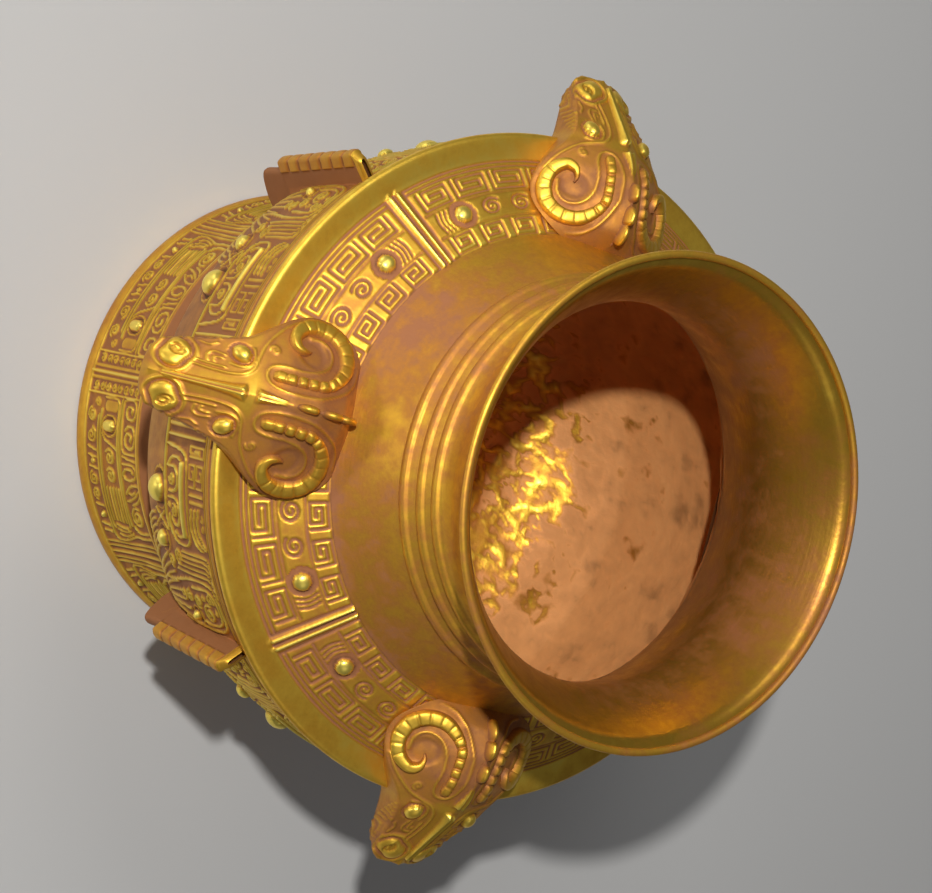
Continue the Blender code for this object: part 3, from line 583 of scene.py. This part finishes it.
shoulder["rub_and_shade"][(shoulder["s"] > 4) & (shoulder["s"] < shoulder_s)] += 0.14
gilt_border = rubbed_gilding("gilt shoulder", patches=0.22, turned=0.14, earth=(0.38, 0.15, 0.06))
set_in_place(turned_piece("shoulder", shoulder), gilt_border)


# The neck is cast with the shoulder. It draws in past three ridges to the waist and flares to the
# mouth, whose rounded lip is 3.2 mm thick. Both faces were smoothed on the turning table before they
# were gilt, and its marks still show.
WAIST_RADIUS, WAIST, MOUTH_RADIUS, MOUTH = 80.1, 267.1, 98.0, 301.3
NECK_BELOW, NECK_ABOVE = 53.0, 34.2
RIDGE_DROPS, RIDGE_HEIGHT, RIDGE_HALF = (25.0, 17.0, 9.0), 1.85, 2.3
LIP_ROUND = 1.6


def neck_radius(z):
    """Outside of the neck in mm, below and above its waist."""
    z = np.asarray(z, float)
    below, above = np.clip(WAIST - z, 0, 99) / NECK_BELOW, np.clip(z - WAIST, 0, 99) / NECK_ABOVE
    low = WAIST_RADIUS + (BAND_INNER - WAIST_RADIUS) * below**1.9
    high = WAIST_RADIUS + (MOUTH_RADIUS - WAIST_RADIUS) * above**1.4
    return np.where(z < WAIST, low, high)


def neck_line(low, high, count, inset=0.0):
    """Outline of the neck between two heights, or of its inside."""
    return [(float(neck_radius(z)) - inset, z) for z in np.linspace(low, high, count)]


# Outlines of the three ridges, the lip, and the smooth throat down to the rough inside.
ridges = []
for z in (WAIST - ridge_drop for ridge_drop in RIDGE_DROPS):
    for turn in np.linspace(-90, 90, 9):
        ridges.append((float(neck_radius(z)) + 0.1 + RIDGE_HEIGHT * math.cos(math.radians(turn)),
                       z + RIDGE_HALF * math.sin(math.radians(turn))))
lip = [(MOUTH_RADIUS - LIP_ROUND + LIP_ROUND * math.cos(math.radians(turn)),
        MOUTH - LIP_ROUND + LIP_ROUND * math.sin(math.radians(turn)))
       for turn in np.linspace(-25, 205, 12)]
throat = [(r, z) for r, z in reversed(neck_line(WAIST + 2, MOUTH - 3.4, 12, 3.4))]
throat += [(r, z) for r, z in reversed(neck_line(228.0, WAIST - 2, 14, 3.6))]
throat += [(91.0, 224.4), (93.6, 221.4), (96.2, 218.2)]
below_ridges = [(BAND_INNER, SHOULDER_TOP)] + neck_line(SHOULDER_TOP + 1, ridges[0][1] - 0.4, 12)
flare = neck_line(ridges[-1][1] + 0.4, MOUTH - 3.2, 20)
neck = wax_skin([(below_ridges, 1.6), (ridges, 0.6), (flare, 1.5), (lip, 0.6)], 40)
neck["rub_and_shade"][neck["z"] < 216] -= 0.04
gilt_neck = rubbed_gilding("gilt neck", patches=0.27, turned=0.24, earth=(0.38, 0.15, 0.06))
set_in_place(turned_piece("neck_and_mouth", neck), gilt_neck)
tube = wax_skin([([lip[-1]] + throat, 2.2)], 40)
# Painted shade in the throat: lighter near the lip, darker down past the waist, and its gold toned down
# to 0.7.
throat_painted_shade = 0.09 * smooth((tube["z"] - 280) / 18) - 0.06 * smooth((262 - tube["z"]) / 30) - 0.04
tube["rub_and_shade"] += throat_painted_shade[:, None]
gilt_throat = rubbed_gilding("gilt throat", patches=0.22, turned=0.22, polish=0.14, painted_shade_tone=0.7,
                             earth=(0.30, 0.11, 0.035))
set_in_place(turned_piece("throat", tube), gilt_throat)


# The inside was never worked after casting. The clay core left its bronze lumpy and wrinkled, with a
# dull pink skin that is gilt only along the wrinkles; the floor and the hollow foot are plainer.
WALL = 4.0
CORE_LUMPS = ((34, 1.2), (12, 0.45), (4.5, 0.18))
core = [(96.2, 218.2), (99.0, 214.2), (103.5, 209.0), (128.6, 189.6), (133.6, 184.6), (134.6, 178.0)]
core += [(float(belly_radius(z - 2.4)) - WALL, z) for z in np.linspace(172, 112, 22)]
core += [(118.0, 101.0), (110.5, 91.0), (101.0, 82.5), (90.0, 76.5), (78.0, 72.8), (66.0, 71.2),
         (50.0, 71.0), (3.0, 71.0)]
inside = wax_skin([(core, 1.9)], 48)
# Brighter gilt along the floor's wrinkles, and painted shade up the walls above it, deepest at the top.
inside_rub_and_shade = 0.10 * smooth((98 - inside["z"]) / 24) - 0.11 * smooth((inside["z"] - 84) / 24)
inside_rub_and_shade = inside_rub_and_shade - 0.05 * smooth((inside["z"] - 120) / 50)
inside["rub_and_shade"] += inside_rub_and_shade[:, None]


def core_marks(skin, shape):
    """Lumps and sharp wrinkles left by the clay core, in mm; the floor is the most crumpled."""
    angle = angles_round(shape[1])
    marks = np.zeros(shape)
    for row, (r, z) in enumerate(zip(skin["r"], skin["z"])):
        fade = min(max((218.4 - z) / 4, 0), 1)
        for column, turn in enumerate(angle):
            spot = Vector((r * math.cos(turn), r * math.sin(turn), z))
            lumps = sum(noise.noise(spot / size) * height for size, height in CORE_LUMPS)
            warp = Vector((noise.noise(spot / 9), noise.noise(spot / 9 + Vector((9, 1, 4))), 0)) * 0.45
            wrinkles = 1 - abs(noise.noise(spot / 14 + warp + Vector((7, 3, 1))) * 2.6)
            small = 1 - abs(noise.noise(spot / 6.5 + warp) * 2.6)
            rough = 0.32 + 0.9 * min(max((112 - z) / 34, 0), 1)
            creases = 1.3 * max(wrinkles - 0.6, 0) + 0.9 * max(small - 0.6, 0)
            marks[row, column] = fade * (lumps + rough * creases)
    return marks


rough_core = rubbed_gilding("rough cast inside", patches=0.02, pink=0.11, grit=0.4,
                            earth=(0.76, 0.345, 0.115))
set_in_place(turned_piece("inside", inside, core_marks), rough_core)
for name, outline in (("inside_floor_middle", [(3.0, 71.0), (0.01, 71.0)]),
                      ("foot_inside",
                       [(0.01, 67.0), (96.3, 67.0), (105.8, 48.0), (107.4, 24.0), (110.2, 0.0)])):
    plain = wax_skin([(outline, 5.0)], 24)
    plain["rub_and_shade"][:] = -0.12
    set_in_place(turned_piece(name, plain), rough_core)


# Four ram heads stand on the shoulder, cast in one with it. Each has beaded horns coiled on the
# back of the head, domed eyes, a ridged nose and scrolled nostrils, rubbed bright on the high parts.
# CREST, SIDE and JAW give heights, and HALF half the head's width, at mm out from the jar's middle.
CREST = ((94, 213.5), (97, 216), (100, 219.5), (106, 225.8), (118, 227.6), (130, 224.5), (145, 213.5),
         (170, 189), (173.5, 186))
SIDE = ((94, 212.5), (97, 214.5), (101, 213.6), (105, 210.5), (110, 206.6), (117, 203.9), (124, 204),
        (130, 205.3), (138, 206), (145, 204.5), (150, 201), (160, 191.5), (167, 185.5), (173.5, 181))
HALF = ((94, 9), (97, 18), (99.5, 24.3), (102, 28.2), (105, 31.5), (108, 34), (111.5, 35.6),
        (116, 36.2), (121, 35.6), (125, 34.2), (129, 32.2), (133.5, 29), (138, 25.2), (142.5, 21.8),
        (146.7, 20.1), (151, 18.6), (155, 17.2), (159.7, 15.8), (164, 14.4), (168, 13), (173.5, 9))
JAW = ((98, 212.8), (101, 210), (112, 201), (128, 194.5), (137, 190), (140, 186), (144.6, 184.4),
       (161, 177), (172, 178.6), (173.5, 180))


TIP_START, TIP_LENGTH = 168, 5.4


def line_value(points, at, ease=1.4):
    """Value read off a line through a few measured points, eased at its corners."""
    fine = np.arange(points[0][0], points[-1][0] + 0.2, 0.2)
    value = np.interp(fine, *np.array(points, float).T)
    cells = int(ease / 0.2)
    for _ in range(2):
        wide = np.pad(value, cells, mode="reflect", reflect_type="odd")
        value = np.convolve(wide, np.full(2 * cells + 1, 1 / (2 * cells + 1)), "valid")
    return np.interp(at, fine, value)


def head_plate(u, v):
    """Height in mm of the plain head over a place u out from the jar's middle and v to the side."""
    half = np.maximum(head_half(u), 0.01)
    side, crest = line_value(SIDE, u), line_value(CREST, u)
    share = np.clip(np.abs(v) / half, 0, 1)
    return side + (crest - side) * (1 - share**1.18)


def head_half(u):
    """Half the head's width in mm, rounded off at the snout."""
    u = np.asarray(u, float)
    tip = np.clip((u - TIP_START) / TIP_LENGTH, 0, 1)
    rounded = line_value(HALF, TIP_START) * np.sqrt(np.maximum(1 - tip**2.4, 0))
    return np.where(u > TIP_START, rounded, line_value(HALF, u))


# The head as a plate over (out, sideways), with its walls turned down to the jaw at either side.
HEAD_BACK, SNOUT_ROUND, SNOUT_TIP, SNOUT_LIMIT = 98.4, 169, 173.4, 173.45
SNOUT_DEPTH, JAW_TAPER = 4.4, 0.16
TOP_COLUMNS, WALL_COLUMNS = 107, 8
stations = np.concatenate([np.linspace(HEAD_BACK, SNOUT_ROUND, 128),
                           SNOUT_TIP - SNOUT_DEPTH * (1 - np.linspace(0, 1, 13)[1:]) ** 1.7])
half = head_half(stations)[:, None]
side, jaw = line_value(SIDE, stations)[:, None], line_value(JAW, stations)[:, None]
drop = np.minimum(jaw, side - 0.3) - side
top_v = half * np.linspace(1, -1, TOP_COLUMNS)[None, :]
wall_share = np.linspace(0, 1, WALL_COLUMNS + 1)[None, 1:]
wall_v = half * (1 - JAW_TAPER * wall_share**1.5)
jaw_v = wall_v[:, -1:] * 0.6
head_v = np.hstack([0 * half, jaw_v, wall_v[:, ::-1], top_v, -wall_v, -jaw_v])
top_z, face_z = head_plate(stations[:, None], top_v), side + drop * wall_share
head_z = np.hstack([side + drop, side + drop, face_z[:, ::-1], top_z, face_z, side + drop])
head_u = np.repeat(stations[:, None], head_v.shape[1], 1)
face_spread = half - drop * wall_share
spread = np.hstack([half - drop, half - drop, face_spread[:, ::-1], np.abs(top_v), face_spread,
                    half - drop])
head = {"plan": (head_u, spread), "h": np.zeros(head_v.shape), "rub_and_shade": np.zeros(head_v.shape)}

# Threads round the horn and along the cheek, the sunk middle of the curl, the eye and its lids.
horn_line = smooth_curve([(136.2, 9.1), (131.2, 9.0), (126, 9.0), (121, 9.2), (116.2, 9.8),
                          (111.8, 12.2), (108.0, 16.4), (106.6, 21.4), (107.4, 26.2), (110.2, 29.6),
                          (114, 31.2), (118, 31.5), (122.4, 30.6), (126.2, 28.2), (128.3, 24.6),
                          (127.0, 21.6), (123.8, 20.9), (121.2, 21.9)], 12)
for line in ([(99.8, 20), (102.4, 13.4), (109.6, 8.3), (118.4, 5.0), (123, 4.3), (129, 4.0),
              (134.6, 4.7), (137.6, 6.4), (138.4, 9.1), (137.4, 11.6), (135.4, 13.0), (131.8, 13.7),
              (125.4, 13.5), (119.8, 14.5), (115, 17), (112.7, 21), (113.2, 24.6), (116.4, 27),
              (121.1, 27.2)],
             [(161.6, 6.4), (156, 5.8), (150.1, 5.8), (145.9, 6.8), (142.6, 9.8), (140.8, 14.6),
              (138.8, 19.5), (135.2, 24.4), (130.3, 29.2), (124.6, 32.6)]):
    lay_thread(head, smooth_curve(line, 6), 0.85, 0.75)
for window, distance in near_line(head, [(120.5, 21.5), (121, 22)], 10):
    head["h"][window] -= 0.8 * smooth((6.5 - distance) / 2.5)
set_boss(head, 146.4, 14.2, 3.3, 2.9, moat=1.0, level=0.0)
for line in ([(149.8, 9.6), (146.6, 9.2), (143.6, 10.6), (142.2, 13.8), (142.6, 17.2)],
             [(159.4, 12.4), (159.7, 9.0), (158.0, 7.8), (151.4, 7.6)],
             [(156.6, 8.8), (156.4, 11.2), (154.6, 12.6), (151.6, 12.2)],
             [(154.6, 8.9), (154.6, 10.5), (152.2, 10.8)],
             [(158.8, 17.4), (156.0, 18.3), (152.8, 18.0)],
             [(158.6, 15.2), (155.8, 14.8), (153.8, 16.2)]):
    lay_thread(head, smooth_curve(line, 6), 0.75, 0.75)
# The nostril with its ring and spiral, small scrolls, the whisker lines, and the ridges of nose and comb.
for window, distance in near_line(head, [(167.0, 6.6), (164.4, 10.6)], 8):
    dome = 2.3 * np.sqrt(np.clip(1 - (distance / 3.7) ** 2, 0, 1))
    rim_line = 0.95 * smooth((0.95 - np.abs(distance - 5.2)) / 0.7)
    head["h"][window] = np.maximum(head["h"][window], np.maximum(dome, rim_line))
    head["rub_and_shade"][window] = np.where(distance < 3.4, 0.12, head["rub_and_shade"][window])
cut_line(head, scroll(164.9, 9.9, 2.2, 200, 1.3, 1.0, 0.25), 0.6, 0.5, 1.5)
for x, v, size, start, turns in ((162.0, 14.6, 1.6, 90, 1.2), (135.4, 18.8, 1.9, 0, 1.3)):
    lay_thread(head, scroll(x, v, size, start, turns), 0.7, 0.7)
for k in range(5):
    reach = 4.2 + 2.0 * k
    arc = [(156.5 + reach * math.cos(a), 18.0 + reach * math.sin(a) * 1.1)
           for a in np.linspace(0.35, 2.8, 14)]
    lay_thread(head, arc, 0.8, 0.75)
u, v = head["plan"]
nose_half = np.interp(u, [144.0, 149, 156, 170.5], [3.6, 2.4, 1.7, 1.1])
nose = 2.5 * np.clip(1 - (v / nose_half) ** 1.3, 0, 1)
nose = nose * smooth((u - 144) / 0.9) * smooth((169.8 - u) / 1.2)
comb_half = np.interp(u, [129.8, 140.4], [0.3, 2.9])
comb = 2.4 * np.clip(1.3 - 1.3 * v / comb_half, 0, 1)
comb = comb * smooth((u - 129.2) / 0.9) * smooth((141.0 - u) / 0.9)
beside_nose = 0.06 * np.clip(1.4 - v / (nose_half + 1.6), 0, 1) * (u > 141.5)
head["rub_and_shade"] += beside_nose + 0.04 * np.clip(1 - abs(u - 141.8) / 4, 0, 1)
head["rub_and_shade"] += 0.12 * (comb > 0.5) + 0.06 * (nose > 0.6)
head["rub_and_shade"] += 0.05 * smooth((u - 139) / 3) * smooth((13 - v) / 5) + 0.04 * smooth((u - 128) / 6)
head["h"] = np.where(np.abs(head_v) > 0, head["h"] + np.maximum(nose, comb), 0)
head["h"] *= np.clip((173.3 - u) / 1.5, 0, 1) * np.clip((u - HEAD_BACK) / 3, 0, 1)


def strip_on_head(path, halves, heights, sharp=3.0, columns=9):
    """Raised strip on the plain head along a path of (u, v): points in mm and rubbing for each."""
    path = np.array(path)
    u, v = path.T
    step = 0.3
    base = np.column_stack([u, v, head_plate(u, v)])
    still, stride = np.zeros(len(u)), np.full(len(u), 2 * step)
    slope_u = np.column_stack([stride, still, head_plate(u + step, v) - head_plate(u - step, v)])
    slope_v = np.column_stack([still, stride, head_plate(u, v + step) - head_plate(u, v - step)])
    up = np.cross(slope_u, slope_v)
    up /= np.linalg.norm(up, axis=1)[:, None]
    ahead = np.gradient(base, axis=0)
    ahead /= np.linalg.norm(ahead, axis=1)[:, None]
    left = np.cross(up, ahead)
    across = np.linspace(-1, 1, columns)
    rise = (1 - np.abs(across) ** sharp) ** (1 / sharp)
    points, wear_and_shade = [], []
    for k, place in enumerate(across):
        high = (heights * rise[k] - (1.6 if rise[k] == 0 else 0))[:, None]
        points.append(base + left * (halves * place)[:, None] + up * high)
        wear_and_shade.append(np.clip(0.30 + 0.38 * heights / heights.max() * rise[k], 0, 1))
    return np.stack(points, 1), np.stack(wear_and_shade, 1)


# The horn starts behind the eye as round beads, and its curl is cut into flat segments.
HORN_PITCH, CURL_START, BEADED_END = 4.3, 0.33, 0.80
horn_line = np.array(horn_line)
run = np.concatenate([[0], np.cumsum(np.hypot(*np.diff(horn_line, axis=0).T))])
fine = np.arange(0, run[-1], 0.42)
horn_line = np.column_stack([np.interp(fine, run, horn_line[:, k]) for k in (0, 1)])
share = fine / run[-1]
halves = np.interp(share, [0, 0.02, 0.05, 0.28, 0.40, 0.66, 0.80, 0.90, 1],
                   [1.6, 2.5, 2.3, 2.5, 3.4, 4.1, 3.4, 2.3, 0.3])
heights = np.interp(share, [0, 0.02, 0.05, 0.3, 0.6, 0.86, 0.95, 1],
                    [1.6, 2.6, 2.5, 2.8, 3.0, 3.4, 2.4, 0.6])
curled = share > CURL_START
phase = np.mod(np.where(curled, fine - CURL_START * run[-1], fine + 0.6) / HORN_PITCH, 1)
flat_bead = 0.80 + 0.20 * (1 - np.abs(2 * phase - 1) ** 6) ** 0.7
round_bead = 0.30 + 0.70 * (1 - np.abs(2 * phase - 1) ** 3) ** 0.6
bead = np.where(curled, flat_bead, round_bead)
bead = np.where((fine > 4) & (share < BEADED_END), bead, 1)
horn_points, horn_worn = strip_on_head(horn_line, halves * (0.93 + 0.07 * bead), heights * bead, 3.0)

# Three hooked teeth along the middle of the head's back.
CREST_TOOTH = 4.2
crest_u = np.linspace(128, 101, 64)
hook_path = [(u, 0.0) for u in crest_u]
teeth = np.zeros(len(crest_u))
for centre, height in ((123.6, 4.0), (114.0, 4.6), (106.6, 3.8)):
    gap = (crest_u - centre) / CREST_TOOTH
    lean = np.clip(1 - np.abs(gap) ** np.where(gap > 0, 2, 5), 0, 1)
    teeth = np.maximum(teeth, height * lean**0.7)
hook_points, hook_worn = strip_on_head(hook_path, 0.7 + 0.3 * np.minimum(teeth, 4), 0.3 + teeth, 2.2, 7)


def strip_faces(rows, columns, first, flip):
    """Faces of a raised strip whose points start at first; flip turns them to face outward."""
    faces = grid_faces(rows, columns, closed=False) + first
    return faces[:, ::-1] if flip else faces


base = np.stack([head_u, head_v, head_z], 2)
along, around = np.gradient(base, axis=0), (np.roll(base, -1, 1) - np.roll(base, 1, 1))
out = np.cross(around, along)
out /= np.maximum(np.linalg.norm(out, axis=2), 1e-6)[:, :, None]
shaped = base + out * head["h"][:, :, None]
HEAD_RUB, HEAD_RUB_PER_MM = 0.43, 0.20
raised = head["h"] - blurred(blurred(head["h"], 2), 2)
head_worn = np.clip(HEAD_RUB + HEAD_RUB_PER_MM * raised + head["rub_and_shade"], 0, 1)
mirrored = horn_points * np.array([1, -1, 1])
points, wear_and_shade, faces = [shaped.reshape(-1, 3)], [head_worn.ravel()], [grid_faces(*head_v.shape)]
first = head_v.size
for strip, rubbed, flip in ((horn_points, horn_worn, True), (mirrored, horn_worn, False),
                            (hook_points, hook_worn, True)):
    points.append(strip.reshape(-1, 3))
    wear_and_shade.append(rubbed.ravel())
    faces.append(strip_faces(strip.shape[0], strip.shape[1], first, flip))
    first += rubbed.size
points, wear_and_shade, faces = np.vstack(points), np.concatenate(wear_and_shade), np.vstack(faces)
points[:, 0] = np.minimum(points[:, 0], SNOUT_LIMIT)


def set_four(name, points, faces, wear_and_shade, first_turn):
    """Four castings of one form, a quarter of a turn apart round the jar."""
    u, v, z = points.T
    for number in range(4):
        turn = math.radians(90 * number + first_turn)
        across, along = math.cos(turn), math.sin(turn)
        turned = np.column_stack([u * across - v * along, u * along + v * across, z])
        set_in_place(metal_mesh(f"{name}_{number + 1}", turned, faces, wear_and_shade), gilt_relief)


set_four("ram_head", points, faces, wear_and_shade, -90)


# Between the heads four toothed flanges stand out from the belly, cast in one with it. Each is a
# plain web with a row of slanted teeth along its edge, a flat gilt end below the shoulder and a
# plain lobe at the foot.
FLANGE_FOOT, FLANGE_TOP = 94.5, 184.4
FIRST_TOOTH, TOOTH_PITCH, TOOTH_SLANT, TOOTH_DEPTH = 117, 9.4, 0.35, 6.1
TOOTH_HALF, GAP_HALF, WEB_HALF, EDGE_ROUND = 2.9, 1.25, 2.3, 1.6
levels = np.concatenate([np.linspace(FLANGE_FOOT, 116, 24), np.linspace(116.6, 183.6, 140),
                         [FLANGE_TOP]])
teeth_zone = smooth((levels - 115.6) / 1.5) * smooth((182 - levels) / 2)
reach = np.where(levels < 116.3, 143.8 - 9 * np.clip((101 - levels) / 7, 0, 1) ** 2 * 1.6,
                 149.1 + 3.3 * (levels - 116.9) / 63.3)
reach = np.where(levels > 181.6, 151.2 - 3 * (levels - 181.6) / 3, reach)
depths = np.array([0, 0.25, 0.7, 1.4, 2.4, 3.6, 4.8, 5.6, 6.0, 6.4, 7.5, 9.5, 13, 18, 26, 36])
blade, blade_worn = [], []
for level, edge_reach, toothed in zip(levels, reach, teeth_zone):
    root = float(belly_radius(level)) - 1.2
    left, worn_left = [], []
    for depth in depths:
        phase = ((level + TOOTH_SLANT * depth - FIRST_TOOTH) / TOOTH_PITCH) % 1
        tooth = (1 - abs(2 * phase - 1) ** 6) ** 0.7 if depth < TOOTH_DEPTH else 0
        tooth = tooth * toothed
        bare = GAP_HALF if depth < TOOTH_DEPTH and toothed > 0.5 else WEB_HALF
        half_width = bare + (TOOTH_HALF - bare) * tooth if depth < TOOTH_DEPTH else WEB_HALF
        half_width *= math.sqrt(1 - (1 - min(depth / EDGE_ROUND, 1)) ** 2)
        radius = max(edge_reach - depth - 1.3 * toothed * (1 - tooth) * (depth < 1), root)
        left.append((radius, half_width, level))
        gilt_end = 0.25 if level > 181 else 0
        worn_left.append(0.34 + 0.20 * tooth + gilt_end - 0.1 * toothed * (1 - tooth) * (depth < 6))
    blade.append(left[::-1] + [(r, -w, z) for r, w, z in left[1:]])
    blade_worn.append(worn_left[::-1] + worn_left[1:])
blade, blade_worn = np.array(blade), np.array(blade_worn)
blade[-1, :, 1] *= 0.4
faces = grid_faces(blade.shape[0], blade.shape[1], closed=False)[:, ::-1]
set_four("flange", blade.reshape(-1, 3), faces, blade_worn, -45)


# A plain pale floor and soft studio light. One small lamp close to the line of view throws the neck's
# shadow into the jar, and wide soft ones round it brighten the gilt edges. The camera stands where
# the photo was taken from.
floor = bpy.data.meshes.new("floor")
floor.from_pydata([(-6, -6, 0), (6, -6, 0), (6, 6, 0), (-6, 6, 0)], [], [(0, 1, 2, 3)])
floor_piece = bpy.data.objects.new("floor", floor)
bpy.context.scene.collection.objects.link(floor_piece)
paper = bpy.data.materials.new("pale paper")
paper.use_nodes = True
paper_shader = paper.node_tree.nodes["Principled BSDF"]
paper_shader.inputs["Base Color"].default_value = (0.58, 0.57, 0.55, 1)
paper_shader.inputs["Roughness"].default_value = 0.9
floor.materials.append(paper)

view_right = Vector((-0.25353, 0.79025, 0.55788))
view_up = Vector((-0.96647, -0.23117, -0.11176))
view_back = Vector((0.04065, -0.56751, 0.82237))
camera = bpy.data.objects.new("camera", bpy.data.cameras.new("camera"))
bpy.context.scene.collection.objects.link(camera)
FOCAL_PIXELS, FRAME_WIDTH, SENSOR = 2162.57, 932, 36
camera.data.lens = FOCAL_PIXELS / FRAME_WIDTH * SENSOR
camera.data.sensor_width = SENSOR
camera.data.clip_start = 0.05
camera.matrix_world = Matrix.Translation((0.03185, -0.53945, 0.93691)) @ Matrix(
    (view_right, view_up, view_back)).transposed().to_4x4()
bpy.context.scene.camera = camera

middle = Vector((0, 0, 0.16))
for name, way, distance, size, power in (("key", (0.048, 0.188, 0.981), 1.4, 0.045, 15),
                                         ("left", (-0.85, 0.25, 0.45), 1.6, 0.5, 8),
                                         ("upper left", (-0.70, 0.65, 0.28), 1.6, 0.5, 10),
                                         ("overhead", (-0.35, 0.85, 0.40), 1.5, 0.7, 3),
                                         ("above", (0.35, 0.52, 0.78), 1.6, 0.7, 4),
                                         ("low", (0.10, -0.75, 0.65), 1.6, 0.9, 1.2)):
    direction = (view_right * way[0] + view_up * way[1] + view_back * way[2]).normalized()
    lamp = bpy.data.objects.new(name, bpy.data.lights.new(name, "AREA"))
    lamp.data.shape = "DISK"
    lamp.data.size = size
    lamp.data.energy = power
    lamp.location = middle + direction * distance
    lamp.rotation_euler = direction.to_track_quat("Z", "Y").to_euler()
    bpy.context.scene.collection.objects.link(lamp)
world = bpy.data.worlds.new("studio")
bpy.context.scene.world = world
world.use_nodes = True
room = world.node_tree.nodes["Background"]
room.inputs["Color"].default_value = (0.60, 0.62, 0.66, 1)
room.inputs["Strength"].default_value = 0.15
bpy.context.scene.view_settings.view_transform = "Standard"
